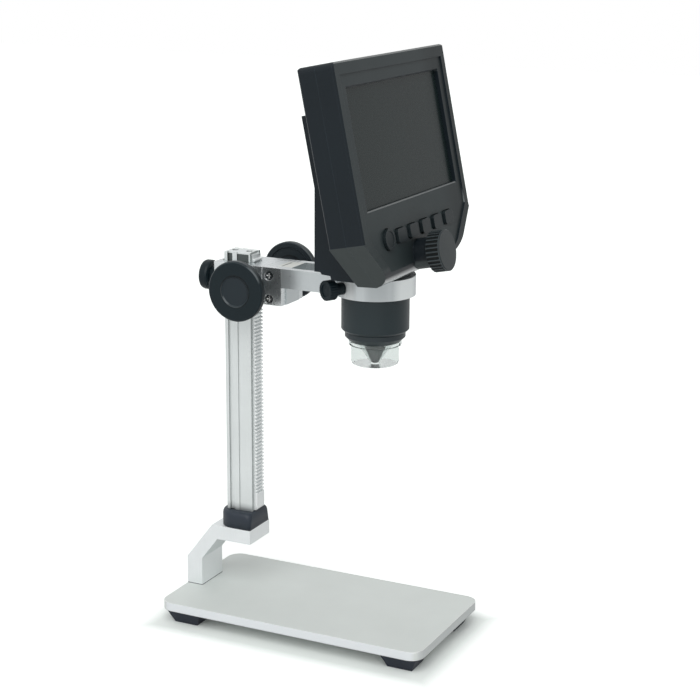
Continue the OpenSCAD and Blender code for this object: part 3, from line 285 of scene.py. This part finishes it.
BOARD_GRAIN = 500  # per metre
BOARD_ROUGH = (0.28, 0.42)
TRACK_HEIGHT = 2e-5
BOARD_ROUNDING = 1e-4


class Finish:
    """A material with a Principled shader, and a short call for each kind of node that feeds it."""

    def __init__(self, name, rough, metallic=0.0, specular=0.5):
        self.material = bpy.data.materials.new(name)
        self.material.use_nodes = True
        self.tree = self.material.node_tree
        self.shader = self.tree.nodes["Principled BSDF"]
        self.shader.inputs["Metallic"].default_value = metallic
        self.shader.inputs["Roughness"].default_value = rough
        self.shader.inputs["Specular IOR Level"].default_value = specular
        self.place = self.tree.nodes.new("ShaderNodeTexCoord").outputs["Object"]

    def set(self, name, value):
        """Feeds one of the shader's sockets."""
        feed(self.tree, self.shader.inputs[name], value)

    def maths(self, operation, first, second=0.0):
        """A math node on two sockets or numbers."""
        return maths(self.tree, operation, first, second)

    def span(self, value, low, high, to_low=0, to_high=1):
        """Maps a value from one range to another, held at its ends."""
        return ramp(self.tree, value, low, high, to_low, to_high)

    def product(self, *shares):
        """Shares multiplied together."""
        whole = shares[0]
        for share in shares[1:]:
            whole = self.maths("MULTIPLY", whole, share)
        return whole

    def less(self, value, share, drop):
        """A value that falls by a share of a drop."""
        return self.maths("SUBTRACT", value, self.maths("MULTIPLY", share, drop))

    def vectors(self, operation, first, second=None):
        """A vector math node on one or two sockets or vectors, and its outputs."""
        node = self.tree.nodes.new("ShaderNodeVectorMath")
        node.operation = operation
        feed(self.tree, node.inputs[0], first)
        if second is not None:
            feed(self.tree, node.inputs[1], second)
        return node.outputs

    def noise(self, per_metre, detail=2.0, stretch=(1, 1, 1)):
        """Cloudy noise from 0 to 1, drawn out along the axes whose stretch is small."""
        mapping = self.tree.nodes.new("ShaderNodeMapping")
        feed(self.tree, mapping.inputs["Vector"], self.place)
        mapping.inputs["Scale"].default_value = stretch
        node = self.tree.nodes.new("ShaderNodeTexNoise")
        feed(self.tree, node.inputs["Vector"], mapping.outputs[0])
        node.inputs["Scale"].default_value = per_metre
        node.inputs["Detail"].default_value = detail
        return node.outputs["Fac"]

    def cells(self, per_metre):
        """Distance to the nearest of scattered points."""
        node = self.tree.nodes.new("ShaderNodeTexVoronoi")
        feed(self.tree, node.inputs["Vector"], self.place)
        node.inputs["Scale"].default_value = per_metre
        return node.outputs["Distance"]

    def colours(self, share, first, second):
        """A colour between two, by a share from 0 to 1."""
        node = self.tree.nodes.new("ShaderNodeMix")
        node.data_type = "RGBA"
        feed(self.tree, node.inputs["Factor"], share)
        feed(self.tree, node.inputs["A"], first)
        feed(self.tree, node.inputs["B"], second)
        return node.outputs["Result"]

    def clouded(self, cloud, colour, drift):
        """A colour that drifts to both sides with a cloudy noise."""
        return self.colours(self.span(cloud, *MOST), shade(colour, 1 - drift), shade(colour, 1 + drift))

    def layered(self, colour, tones):
        """A colour with others over it. Each tone takes the finish and gives its share and colour."""
        for tone in tones:
            share, shown = tone(self)
            colour = self.colours(share, colour, shown)
        return colour

    def rounded(self, radius):
        """A normal that is rounded at sharp edges."""
        node = self.tree.nodes.new("ShaderNodeBevel")
        node.samples = BEVEL_SAMPLES
        node.inputs["Radius"].default_value = radius
        return node.outputs["Normal"]

    def edges(self, soft_normal):
        """1 along sharp edges and 0 elsewhere."""
        sharp = self.tree.nodes.new("ShaderNodeNewGeometry").outputs["Normal"]
        return self.span(self.vectors("DOT_PRODUCT", soft_normal, sharp)["Value"], *WEAR_AND_HIGHLIGHT_TURN)

    def facing(self, direction, low=0.93, high=0.98):
        """1 on the faces of the node that look along a direction, 0 on the others."""
        normal = self.tree.nodes.new("ShaderNodeTexCoord").outputs["Normal"]
        along = self.vectors("DOT_PRODUCT", normal, Vector(direction).normalized())
        return self.span(along["Value"], low, high)

    def along(self, letter):
        """The place along one axis, in metres."""
        split = self.tree.nodes.new("ShaderNodeSeparateXYZ")
        feed(self.tree, split.inputs[0], self.place)
        return split.outputs[letter]

    def between(self, value, low, high):
        """1 where a value lies between two numbers, 0 elsewhere."""
        return self.product(self.maths("GREATER_THAN", value, low), self.maths("LESS_THAN", value, high))

    def from_line(self, centre, direction):
        """Distance from a line through a point."""
        off = self.vectors("SUBTRACT", self.place, centre)["Vector"]
        across = self.vectors("CROSS_PRODUCT", off, Vector(direction).normalized())["Vector"]
        return self.vectors("LENGTH", across)["Value"]

    def bump(self, height, depth, normal):
        """Fine relief, where depth is the real height in metres of a step from 0 to 1."""
        node = self.tree.nodes.new("ShaderNodeBump")
        node.inputs["Distance"].default_value = depth
        feed(self.tree, node.inputs["Height"], height)
        feed(self.tree, node.inputs["Normal"], normal)
        return node.outputs["Normal"]


def shade(colour, factor):
    """A colour made lighter or darker, with full alpha."""
    return tuple(min(1.0, c * factor) for c in colour[:3]) + (1.0,)


def metal(
    name,
    colour,
    rough,
    grain=(1, 1, 1),
    grain_depth=2e-6,
    blotch=0.05,
    edge=1.3,
    rounding=2e-4,
    metallic=0.65,
    tones=(),
    matt=None,
):
    """Milled, extruded or blasted metal. A small number in grain draws its lines along that axis.

    An oxide skin is part of most colours, and metallic is below 1 there. The tones lie over the
    colour, and matt takes the finish and gives the share in which it mirrors less.
    """
    finish = Finish(name, rough, metallic=metallic)
    if matt:
        finish.set("Metallic", finish.span(matt(finish), 0, 1, metallic, metallic - MATT_DROP))
    lines = finish.noise(METAL_LINES, 3.0, grain)
    cloud = finish.noise(METAL_CLOUDS, 4.0)
    scratches = finish.span(finish.noise(METAL_SCRATCHES, 2.0, SCRATCH_GRAIN), *SCRATCHED)
    soft = finish.rounded(rounding)
    edge_wear_and_highlight = finish.edges(soft)
    body = finish.clouded(cloud, colour, blotch)
    line_share = finish.span(lines, *MOST, 0, LINE_SHARE)
    lined = finish.colours(line_share, body, shade(colour, LINE_SHADE))
    # Edges made lighter by the factor edge: partly wear, partly a painted highlight.
    edge_share = finish.maths("MULTIPLY", edge_wear_and_highlight, METAL_EDGE_SHARE)
    edged = finish.colours(edge_share, lined, shade(colour, edge))
    finish.set("Base Color", finish.layered(edged, tones))
    base = finish.span(lines, *LINE_RANGE, *(rough + step for step in LINE_ROUGH))
    finish.set("Roughness", finish.less(base, scratches, SCRATCH_POLISH))
    finish.set("Normal", finish.bump(lines, grain_depth, soft))
    return finish.material


def moulded(
    name,
    colour,
    rough,
    specular=0.3,
    grit=2200,
    grit_depth=1.5e-5,
    edge=1.5,
    rounding=2.5e-4,
    tones=(),
    polish=None,
):
    """Moulded plastic with a fine spark-eroded texture, a little polished along its edges.

    The tones lie over the colour, and polish takes the finish and gives the share of gloss.
    """
    finish = Finish(name, rough, specular=specular)
    pits = finish.cells(grit)
    fine = finish.noise(grit * FINE_SCALE, 3.0)
    cloud = finish.noise(PLASTIC_CLOUDS, 4.0)
    soft = finish.rounded(rounding)
    edge_wear_and_highlight = finish.edges(soft)
    body = finish.layered(finish.clouded(cloud, colour, PLASTIC_DRIFT), tones)
    speck_share = finish.span(fine, *SPECKLED, 0, SPECK_SHARE)
    speckled = finish.colours(speck_share, body, shade(colour, SPECK_SHADE))
    # Edges made lighter by the factor edge: partly wear, partly a painted highlight.
    edge_share = finish.maths("MULTIPLY", edge_wear_and_highlight, PLASTIC_EDGE_SHARE)
    finish.set("Base Color", finish.colours(edge_share, speckled, shade(colour, edge)))
    drifting = finish.span(cloud, *MOST, rough - PLASTIC_ROUGH, rough + PLASTIC_ROUGH)
    base = finish.less(drifting, edge_wear_and_highlight, EDGE_POLISH)
    finish.set("Roughness", finish.less(base, polish(finish), POLISH_DROP) if polish else base)
    relief = finish.maths("ADD", pits, finish.maths("MULTIPLY", fine, FINE_HEIGHT))
    finish.set("Normal", finish.bump(relief, grit_depth, soft))
    return finish.material


def clear(name, colour, rough, transmission, ior=1.49, specular=0.5):
    """Clear moulding or glass with faint flow marks and a little haze."""
    finish = Finish(name, rough, specular=specular)
    finish.set("Transmission Weight", transmission)
    finish.set("IOR", ior)
    flow = finish.noise(FLOW_SCALE, 3.0, FLOW_STRETCH)
    fine = finish.noise(HAZE_SCALE)
    shades = [shade(colour, factor) for factor in FLOW_SHADES]
    finish.set("Base Color", finish.colours(finish.span(flow, *MOST), *shades))
    finish.set("Roughness", finish.span(fine, *MOST, rough, rough + HAZE))
    finish.set("Normal", finish.bump(flow, FLOW_HEIGHT, finish.rounded(CLEAR_ROUNDING)))
    return finish.material


def board(name):
    """Circuit board: solder mask over faint copper tracks."""
    finish = Finish(name, 0.35)
    tracks = finish.tree.nodes.new("ShaderNodeTexBrick")
    feed(finish.tree, tracks.inputs["Vector"], finish.place)
    for socket, value in (
        ("Scale", 260),
        ("Mortar Size", 0.03),
        ("Color1", (0.012, 0.11, 0.045, 1)),
        ("Color2", (0.014, 0.13, 0.052, 1)),
        ("Mortar", (0.03, 0.20, 0.09, 1)),
    ):
        tracks.inputs[socket].default_value = value
    finish.set("Base Color", tracks.outputs["Color"])
    finish.set("Roughness", finish.span(finish.noise(BOARD_GRAIN), *MOST, *BOARD_ROUGH))
    soft = finish.rounded(BOARD_ROUNDING)
    finish.set("Normal", finish.bump(tracks.outputs["Fac"], TRACK_HEIGHT, soft))
    return finish.material


# ---------------------------------------------------------------- tones
#
# A tone takes a finish, and gives a share from 0 to 1 and the colour painted there; most of them paint
# light or shade into the surface's colour.
# The short functions between them give a share or a distance alone. Places are measured from
# the boxes of the nodes.

UP = (0, 0, 1)
LEFT = (-1, 0, 0)
FRONT = (0, -1, 0)
HEAD_FRONT = (0, -0.98, 0.2)  # the tilted housing's front, and the focus knob's axis
CHIN_ROUND = (0, -0.62, -0.78)  # the round of the chin where it looks down to the front
LIP_SLOPE = (0, -0.55, 0.83)
CHIN_SIDES = ((-0.71, -0.14, -0.69), (0.71, -0.14, -0.69))
RING_LEFT = (-0.955, 0.30, 0)
RING_MIDDLE = (-0.90, -0.43, 0)
RING_RIGHT = (-0.25, -0.97, 0)
KNOB_AXIS = (1, 0, 0)
KNOB_RIM = (-0.66, -0.55, 0.50)

POCKET_SIDES = (4.6 * MM, 5.6 * MM)  # across, from the column's middle
POCKET_FRONT = (-6.4 * MM, 0.9 * MM)  # along, from its middle
POCKET_BACK = (3.1 * MM, 6.1 * MM)
POCKET_HEIGHTS = (5 * MM, 0.8 * MM)  # below its top
FLAT_HALF = 6.55 * MM  # the flat on the arm: half its width
FLAT_ENDS = (13.09 * MM, 5.29 * MM)  # and its ends, from the arm's back
COLUMN_FOOT = (4.3 * MM, -0.4 * MM)  # above the collar
JOINT = (-MM, 0.35 * MM)  # round the lower face of the bracket's foot
CHEEK_FOOT = (6.8 * MM, 1.3 * MM)  # above the carriage's lower face
RING_BACK = (20.1 * MM, 10.1 * MM)  # behind the ring's middle
RING_FRONT = (10.1 * MM, 3.1 * MM)
PANEL_HEIGHTS = (10.95 * MM, 100.95 * MM)  # above the front shell's lowest edge
FOCUS_HEIGHTS = (-1.05 * MM, 7.95 * MM)
CHIN_HEIGHTS = (15.95 * MM, 10.95 * MM)
RECESS_HEIGHTS = (32.95 * MM, 26.95 * MM)
PANEL_SHADE = (30.85 * MM, 14.85 * MM)  # from the housing's right side
RECESS_WALL = 5.35 * MM  # the sunken field's right wall is nearer to that side than this
FOCUS_SHADE = (7.2 * MM, 24 * MM)  # radii round the focus knob's axis
FLUTE_FLOORS = (9.65 * MM, 9.3 * MM)
FLUTE_LANDS = (9.68 * MM, 9.78 * MM)
DISC = (7.75 * MM, 7.5 * MM)  # radii round the height knobs' axis
LINE = (7.6 * MM, 8.1 * MM)
ARC = (7.65 * MM, 7.85 * MM)
CRESCENT = (6.2 * MM, 7.6 * MM)
CRESCENT_END = 7.7 * MM
LOWER_BACK = (2 * MM, 7 * MM)  # from a knob's middle, as Y less Z
UPPER_FRONT = (-MM, -6 * MM)


def middle_of(name):
    """The middle of a node's box."""
    low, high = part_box(name)
    return Vector([(first + second) / 2 for first, second in zip(low, high)])


def column_pockets_painted_shade(finish):
    """Painted shade that keeps the sides of the column's head dark in its grooves."""
    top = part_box("column")[1][2]
    side = finish.between(finish.maths("ABSOLUTE", finish.along("X")), *POCKET_SIDES)
    height = finish.between(finish.along("Z"), *(top - below for below in POCKET_HEIGHTS))
    place = finish.maths("SUBTRACT", finish.along("Y"), middle_of("column")[1])
    length = finish.maths(
        "ADD", finish.between(place, *POCKET_FRONT), finish.between(place, *POCKET_BACK)
    )
    return finish.product(side, length, height), (0.085, 0.098, 0.095, 1)


def column_front_painted_shade(finish):
    """Painted shade on the column's faces towards the user."""
    return finish.facing(FRONT, 0.7, 0.9), (0.38, 0.405, 0.40, 1)


def column_foot(finish):
    """The end of the column at its collar, where it mirrors the dark plastic."""
    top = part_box("column_collar")[1][2]
    near = finish.span(finish.along("Z"), *(top + above for above in COLUMN_FOOT), 0, 0.8)
    return near, (0.20, 0.215, 0.22, 1)


def plate_sides_painted_light(finish):
    """Painted light on the plate's sides, a little brighter and cooler."""
    sides = [finish.facing((side, 0, 0), 0.8, 0.95) for side in (-1, 1)]
    return finish.maths("ADD", *sides), (0.70, 0.735, 0.75, 1)


def plate_front_painted_shade(finish):
    """Painted shade on the plate's front edge, which makes it duller."""
    return finish.facing(FRONT, 0.7, 0.9), (0.53, 0.56, 0.555, 1)


def bracket_front_painted_light(finish):
    """Painted light on the bracket's faces towards the user."""
    return finish.facing(FRONT, 0.8, 0.95), (0.82, 0.85, 0.855, 1)


def foot_joint(finish):
    """The thin dark joint between the bracket's foot and the plate."""
    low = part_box("column_bracket")[0][2]
    joint = finish.between(finish.along("Z"), *(low + above for above in JOINT))
    return joint, (0.10, 0.11, 0.12, 1)


def carriage_top_painted_shade(finish):
    """Painted shade on the carriage's faces that look up, a little darker than its sides."""
    return finish.facing(UP, 0.8, 0.95), (0.53, 0.565, 0.58, 1)


def lower_cheek_painted_light(finish):
    """Painted light on the lower part of the carriage's left side, which makes it lighter."""
    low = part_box("carriage_block")[0][2]
    height = finish.span(finish.along("Z"), *(low + above for above in CHEEK_FOOT))
    return finish.product(finish.facing(LEFT, 0.9, 0.98), height), (0.96, 1.0, 1.0, 1)


def ring_span(finish, places):
    """0 to 1 between two places behind the middle of the ring."""
    low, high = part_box("arm_fork")
    middle = low[1] + high[0]  # the ring is the arm's front, and as wide as the arm's box
    return finish.span(finish.along("Y"), *(middle + behind for behind in places))


def ring_left(finish):
    """The share of the ring's back left stretch."""
    return finish.product(finish.facing(RING_LEFT, 0.965, 0.99), ring_span(finish, RING_BACK))


def ring_painted_highlights(finish):
    """The two upright bands of painted highlight in which the turned ring is brighter."""
    left = finish.facing(RING_LEFT, 0.975, 0.995)
    right = finish.facing(RING_RIGHT, 0.90, 0.98)
    share = finish.product(finish.maths("ADD", left, right), ring_span(finish, RING_BACK))
    return share, (0.76, 0.80, 0.80, 1)


def ring_middle_painted_shade(finish):
    """The darker stretch of painted shade between them."""
    stretch = finish.facing(RING_MIDDLE, 0.95, 0.995)
    share = finish.product(stretch, ring_span(finish, RING_FRONT))
    return share, (0.44, 0.475, 0.485, 1)


def milled_flat(finish):
    """The flat on the arm's back end, which another cutter left lighter and warmer."""
    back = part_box("arm_fork")[1][1]
    width = finish.maths("LESS_THAN", finish.maths("ABSOLUTE", finish.along("X")), FLAT_HALF)
    length = finish.between(finish.along("Y"), *(back - end for end in FLAT_ENDS))
    return finish.product(width, length, finish.facing(UP, 0.9, 0.95)), (0.64, 0.66, 0.62, 1)


def shell_span(finish, heights):
    """0 to 1 between two heights above the front shell's lowest edge."""
    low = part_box("front_shell")[0][2]
    return finish.span(finish.along("Z"), *(low + above for above in heights))


def panel_face_painted_sheen(finish):
    """Painted sheen on the front of the housing, a little greyer towards its top."""
    height = shell_span(finish, PANEL_HEIGHTS)
    tone = finish.colours(height, (0.022, 0.031, 0.032, 1), (0.026, 0.035, 0.037, 1))
    return finish.facing(HEAD_FRONT), tone


def panel_right_painted_shade(finish):
    """Painted shade on the right part of that front, a little darker."""
    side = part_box("front_shell")[1][0]
    place = finish.span(finish.along("X"), *(side - inside for inside in PANEL_SHADE), 0, 0.7)
    return finish.product(finish.facing(HEAD_FRONT), place), (0.009, 0.013, 0.014, 1)


def under_focus(finish):
    """The panel and the boss behind the focus knob, which little light reaches."""
    near = finish.span(from_focus_axis(finish), *FOCUS_SHADE, 0.5, 0)
    return finish.product(near, shell_span(finish, FOCUS_HEIGHTS)), (0.002, 0.003, 0.004, 1)


def chin_share(finish, low, high):
    """The round of the chin, from where it begins to look down."""
    down = finish.facing(CHIN_ROUND, low, high)
    return finish.product(down, shell_span(finish, CHIN_HEIGHTS))


def chin_polish(finish):
    """The share in which the chin's round is polished to a gloss."""
    return chin_share(finish, 0.90, 0.97)


def chin_gleam(finish):
    """The light that the polished chin gathers from below."""
    return chin_share(finish, 0.875, 0.975), (0.42, 0.44, 0.44, 1)


def chin_cuts_painted_light(finish):
    """Painted light on the slanted faces at the lower corners."""
    sides = [finish.facing(side, 0.9, 0.97) for side in CHIN_SIDES]
    return finish.maths("ADD", *sides), (0.043, 0.053, 0.053, 1)


def window_lip_painted_highlight(finish):
    """A painted highlight on the narrow slopes that look up, below the window."""
    return finish.facing(LIP_SLOPE), (0.16, 0.17, 0.17, 1)


def recess_edge(finish):
    """The lower part of the sunken field's right wall, which catches the light."""
    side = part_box("front_shell")[1][0]
    wall_face = finish.facing(LEFT, 0.9, 0.98)
    place = finish.maths("GREATER_THAN", finish.along("X"), side - RECESS_WALL)
    share = finish.product(wall_face, place, shell_span(finish, RECESS_HEIGHTS))
    return share, (0.20, 0.22, 0.22, 1)


def from_knob_axis(finish):
    """Distance from the height knobs' axis."""
    return finish.from_line(middle_of("knob_left"), KNOB_AXIS)


def knob_side(finish, places):
    """0 to 1 between two places on the way from a knob's upper front to its lower back."""
    centre = middle_of("knob_left")
    place = finish.maths("SUBTRACT", finish.along("Y"), finish.along("Z"))
    past = finish.maths("SUBTRACT", place, centre[1] - centre[2])
    return finish.span(past, *places)


def knob_disc(finish):
    """The middle of a knob, inside its web."""
    return finish.span(from_knob_axis(finish), *DISC), (0.017, 0.024, 0.029, 1)


def knob_line(finish):
    """The fine dark line round that middle."""
    return finish.between(from_knob_axis(finish), *LINE), (0.002, 0.003, 0.003, 1)


def knob_arc_painted_highlight(finish):
    """A painted highlight: the light arc that the line has on its lower back part."""
    line = finish.between(from_knob_axis(finish), *ARC)
    return finish.product(line, knob_side(finish, LOWER_BACK)), (0.07, 0.08, 0.085, 1)


def knob_crescent_painted_shade(finish):
    """Painted shade: the dark crescent inside the line, on its upper front part."""
    out = from_knob_axis(finish)
    inside = finish.maths("LESS_THAN", out, CRESCENT_END)
    share = finish.product(finish.span(out, *CRESCENT), inside, knob_side(finish, UPPER_FRONT))
    return share, (0.003, 0.004, 0.005, 1)


def knob_steps_painted_light(finish):
    """Painted light on a knob's steps, where they look up."""
    return finish.facing(UP, 0.5, 0.9), (0.050, 0.060, 0.065, 1)


def knob_glint(finish):
    """The round of the rim where it looks to the left, up and to the front."""
    return finish.facing(KNOB_RIM, 0.96, 0.99), (0.10, 0.115, 0.12, 1)


def from_focus_axis(finish):
    """Distance from the focus knob's axis."""
    return finish.from_line(middle_of("focus_knob"), HEAD_FRONT)


def focus_side(finish):
    """1 on the fluted side of the focus knob, 0 on its front."""
    return finish.maths("LESS_THAN", finish.facing(HEAD_FRONT, 0.5, 0.9), 0.5)


def focus_grooves_painted_shade(finish):
    """Painted shade on the floors of its flutes."""
    deep = finish.span(from_focus_axis(finish), *FLUTE_FLOORS)
    return finish.product(deep, focus_side(finish)), (0.001, 0.002, 0.002, 1)


def focus_lands_painted_highlight(finish):
    """A painted highlight on the lands between them."""
    high = finish.span(from_focus_axis(finish), *FLUTE_LANDS)
    return finish.product(high, focus_side(finish)), (0.045, 0.055, 0.058, 1)


def focus_face_painted_light(finish):
    """Painted light on the flat front of the focus knob."""
    return finish.facing(HEAD_FRONT), (0.020, 0.027, 0.029, 1)


# ---------------------------------------------------------------- the materials

BLACK = (0.0062, 0.0105, 0.0140)
ALONG_X = (0.03, 1, 1)
ALONG_Z = (1, 1, 0.03)
SHELL_TONES = (
    panel_face_painted_sheen,
    panel_right_painted_shade,
    under_focus,
    chin_gleam,
    chin_cuts_painted_light,
    window_lip_painted_highlight,
    recess_edge,
)
KNOB_TONES = (knob_disc, knob_line, knob_arc_painted_highlight, knob_crescent_painted_shade, knob_steps_painted_light, knob_glint)
FOCUS_TONES = (focus_grooves_painted_shade, focus_lands_painted_highlight, focus_face_painted_light)


def metal_finishes():
    """The materials of the record's metal slots."""
    return {
        "plate_aluminium": metal(
            "plate",
            (0.635, 0.672, 0.652),
            0.60,
            grain_depth=4e-6,
            blotch=0.025,
            edge=1.7,
            rounding=9e-4,
            metallic=0.25,
            tones=(plate_sides_painted_light, plate_front_painted_shade),
        ),
        "bracket_aluminium": metal(
            "bracket",
            (0.75, 0.785, 0.79),
            0.42,
            ALONG_Z,
            metallic=0.5,
            tones=(bracket_front_painted_light, foot_joint),
        ),
        "column_aluminium": metal(
            "column",
            (0.695, 0.735, 0.73),
            0.34,
            ALONG_Z,
            tones=(column_front_painted_shade, column_foot, column_pockets_painted_shade),
        ),
        "rack_steel": metal("rack", (0.81, 0.845, 0.845), 0.33, ALONG_X),
        "carriage_aluminium": metal(
            "carriage",
            (0.66, 0.70, 0.71),
            0.26,
            ALONG_X,
            grain_depth=1e-6,
            edge=1.5,
            rounding=3e-4,
            metallic=0.93,
            tones=(carriage_top_painted_shade, lower_cheek_painted_light),
        ),
        "arm_aluminium": metal(
            "arm",
            (0.55, 0.59, 0.60),
            0.30,
            ALONG_Z,
            grain_depth=5e-7,
            metallic=0.75,
            tones=(ring_painted_highlights, ring_middle_painted_shade, milled_flat),
            matt=ring_left,
        ),
        "gib_brass": metal("gib", (0.55, 0.40, 0.16), 0.35, ALONG_Z),
        "shaft_steel": metal("shaft", (0.50, 0.52, 0.53), 0.25, ALONG_X, metallic=1.0),
        "steel_screws": metal("screws", (0.52, 0.53, 0.54), 0.28, rounding=1e-4, metallic=1.0),
        "black_screws": metal("dark_screws", (0.46, 0.47, 0.48), 0.22, rounding=1e-4, metallic=1.0),
        "frame_steel": metal("pressed_frame", (0.48, 0.49, 0.50), 0.35, ALONG_X, metallic=1.0),
        "socket_steel": metal("socket", (0.55, 0.56, 0.57), 0.25, metallic=1.0),
    }


def other_finishes():
    """The materials of the record's other slots."""
    return {
        "foot_rubber": moulded("rubber", (0.0145, 0.020, 0.030), 0.62, 0.3, 1600, 3e-5),
        "collar_plastic": moulded("collar", (0.013, 0.020, 0.030), 0.48, 0.4),
        "knob_black": moulded("knob", (0.006, 0.012, 0.015), 0.42, 0.18, 2600, 8e-6, edge=4.0),
        "barrel_plastic": moulded("barrel", (0.007, 0.0165, 0.020), 0.40, 0.4, 2600, 6e-6),
        "nose_plastic": moulded("nose", (0.012, 0.020, 0.024), 0.38, 0.4, 2600, 6e-6),
        "baffle_plastic": moulded("baffle", (0.036, 0.043, 0.046), 0.7, 0.2),
        "carrier_plastic": moulded("carrier", (0.012, 0.013, 0.015), 0.6, 0.3),
        "shell_front_plastic": moulded(
            "front_shell", BLACK, 0.44, 0.20, edge=3.5, tones=SHELL_TONES, polish=chin_polish
        ),
        "shell_rear_plastic": moulded("rear_shell", BLACK, 0.46, 0.20, edge=5.0, tones=(chin_cuts_painted_light,)),
        "cover_plastic": moulded("cover", BLACK, 0.46, 0.20),
        "key_plastic": moulded("keys", (0.010, 0.015, 0.017), 0.42, 0.22, 2600, 8e-6, edge=3.0),
        "focus_plastic": moulded(
            "focus", (0.007, 0.011, 0.013), 0.42, 0.30, 2600, 8e-6, edge=6.0, tones=FOCUS_TONES
        ),
        "diffuser_clear": clear("diffuser", (0.690, 0.725, 0.718), 0.08, 0.90, 1.04),
        "lens_glass": clear("lens", (0.90, 0.95, 0.98), 0.01, 1.0, 1.52),
        "window_plastic": clear("window", (0.010, 0.018, 0.018), 0.25, 0.08, specular=0.15),
        "lcd_panel": moulded("lcd", (0.010, 0.012, 0.014), 0.30, 0.5, 4000, 2e-6),
        "board_green": board("board"),
        "battery_wrap": moulded("battery", (0.02, 0.07, 0.20), 0.3, 0.5, 900, 1e-5),
    }


def height_knob(name, colour, specular):
    """The finish of one of the two large knobs."""
    return moulded(name, colour, 0.42, specular, 2600, 8e-6, edge=5.0, tones=KNOB_TONES)


def dress_nodes(finishes):
    """Gives every CAD node the finish of its slot, and a few of them one of their own."""
    own = {
        "knob_left": height_knob("height_knob", (0.006, 0.012, 0.015), 0.18),
        # The far knob is the same black plastic as the near one, with a lighter colour as painted light.
        "knob_right": height_knob("far_knob_painted_light", (0.015, 0.021, 0.025), 0.22),
        "side_screws": metal("bright_screws", (0.80, 0.81, 0.80), 0.16, rounding=1e-4, metallic=1.0),
    }
    for name, node in nodes.items():
        for place in node.material_slots:
            slot = place.material.name.split(".")[0]
            place.material = own.get(name, finishes[slot])


# ---------------------------------------------------------------- the round collar

# The corners, each as its two sides and its radius at the bottom and at the top, in mm
COLLAR_CORNERS = ((1, 1, 9.3, 9.3), (-1, 1, 9.3, 9.3), (-1, -1, 0.9, 3.5), (1, -1, 0.9, 3.5))
COLLAR_EDGE = ((0, 0), (6.3, 0), (7.4, 0.2), (8.1, 0.6), (8.5, 1.2), (8.7, 1.9))  # heights, insets
COLLAR_FRONT_INSET = 0.9  # the most that its thin front wall can be drawn in
COLLAR_GAP = 0.05 * MM  # round the column
CORNER_STEPS = 12
FLAT_FACE = 0.95  # how far up or down a face looks before it counts as flat


def collar_ring(mesh, height, inset):
    """One closed ring of the collar's outline, drawn in by an inset."""
    low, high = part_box("column_collar")
    half = high[0]
    front = low[1] + min(inset, COLLAR_FRONT_INSET) * MM
    narrower = 1 - inset * MM / half
    shorter = (high[1] - inset * MM - front) / (high[1] - low[1])
    top_height = COLLAR_EDGE[-1][0]
    ring = []
    for side_x, side_y, first, last in COLLAR_CORNERS:
        radius = (first + (last - first) * height / top_height) * MM
        end = high[1] if side_y > 0 else low[1]
        centre = (side_x * (half - radius), end - side_y * radius)
        start = math.atan2(side_y, side_x) - math.pi / 4
        for step in range(CORNER_STEPS + 1):
            turn = start + math.pi / 2 * step / CORNER_STEPS
            x = (centre[0] + radius * math.cos(turn)) * narrower
            y = front + (centre[1] + radius * math.sin(turn) - low[1]) * shorter
            ring.append(mesh.verts.new((x, y, low[2] + height * MM)))
    return ring


def wall(mesh, lower, upper):
    """Faces between two rings of the same length."""
    count = len(lower)
    for step in range(count):
        after = (step + 1) % count
        mesh.faces.new((lower[step], lower[after], upper[after], upper[step]))


def border(mesh, ring):
    """The edges round a ring."""
    return [mesh.edges.get((ring[step - 1], ring[step])) for step in range(len(ring))]


def collar_mesh():
    """The collar as a closed mesh with a hole for the column."""
    low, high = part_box("column_collar")
    mesh = bmesh.new()
    rings = [collar_ring(mesh, height, inset) for height, inset in COLLAR_EDGE]
    for lower, upper in zip(rings, rings[1:]):
        wall(mesh, lower, upper)
    column_low, column_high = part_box("column")
    half = column_high[0] + COLLAR_GAP
    front = column_low[1] - COLLAR_GAP
    back = column_high[1] + COLLAR_GAP
    corners = ((half, back), (-half, back), (-half, front), (half, front))
    holes = [[mesh.verts.new((x, y, z)) for x, y in corners] for z in (low[2], high[2])]
    wall(mesh, *holes)
    for outer, inner in ((rings[0], holes[0]), (rings[-1], holes[1])):
        bmesh.ops.bridge_loops(mesh, edges=border(mesh, outer) + border(mesh, inner))
    bmesh.ops.recalc_face_normals(mesh, faces=mesh.faces)
    for face in mesh.faces:
        face.smooth = abs(face.normal.z) < FLAT_FACE and len(face.verts) == 4
    data = bpy.data.meshes.new("round_collar")
    mesh.to_mesh(data)
    mesh.free()
    return data


def add_collar(finishes):
    """The collar round the column's foot, with its back rounded and a soft edge round its top."""
    data = collar_mesh()
    data.materials.append(finishes["collar_plastic"])
    collar = bpy.data.objects.new("round_collar", data)
    bpy.context.scene.collection.objects.link(collar)
    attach(collar, "stand")
    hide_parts("column_collar")


# ---------------------------------------------------------------- scene

bpy.context.scene.view_settings.view_transform = "Standard"
add_camera()
add_world()
add_key_light()
add_floor()
finishes = {**metal_finishes(), **other_finishes()}
dress_nodes(finishes)
add_collar(finishes)
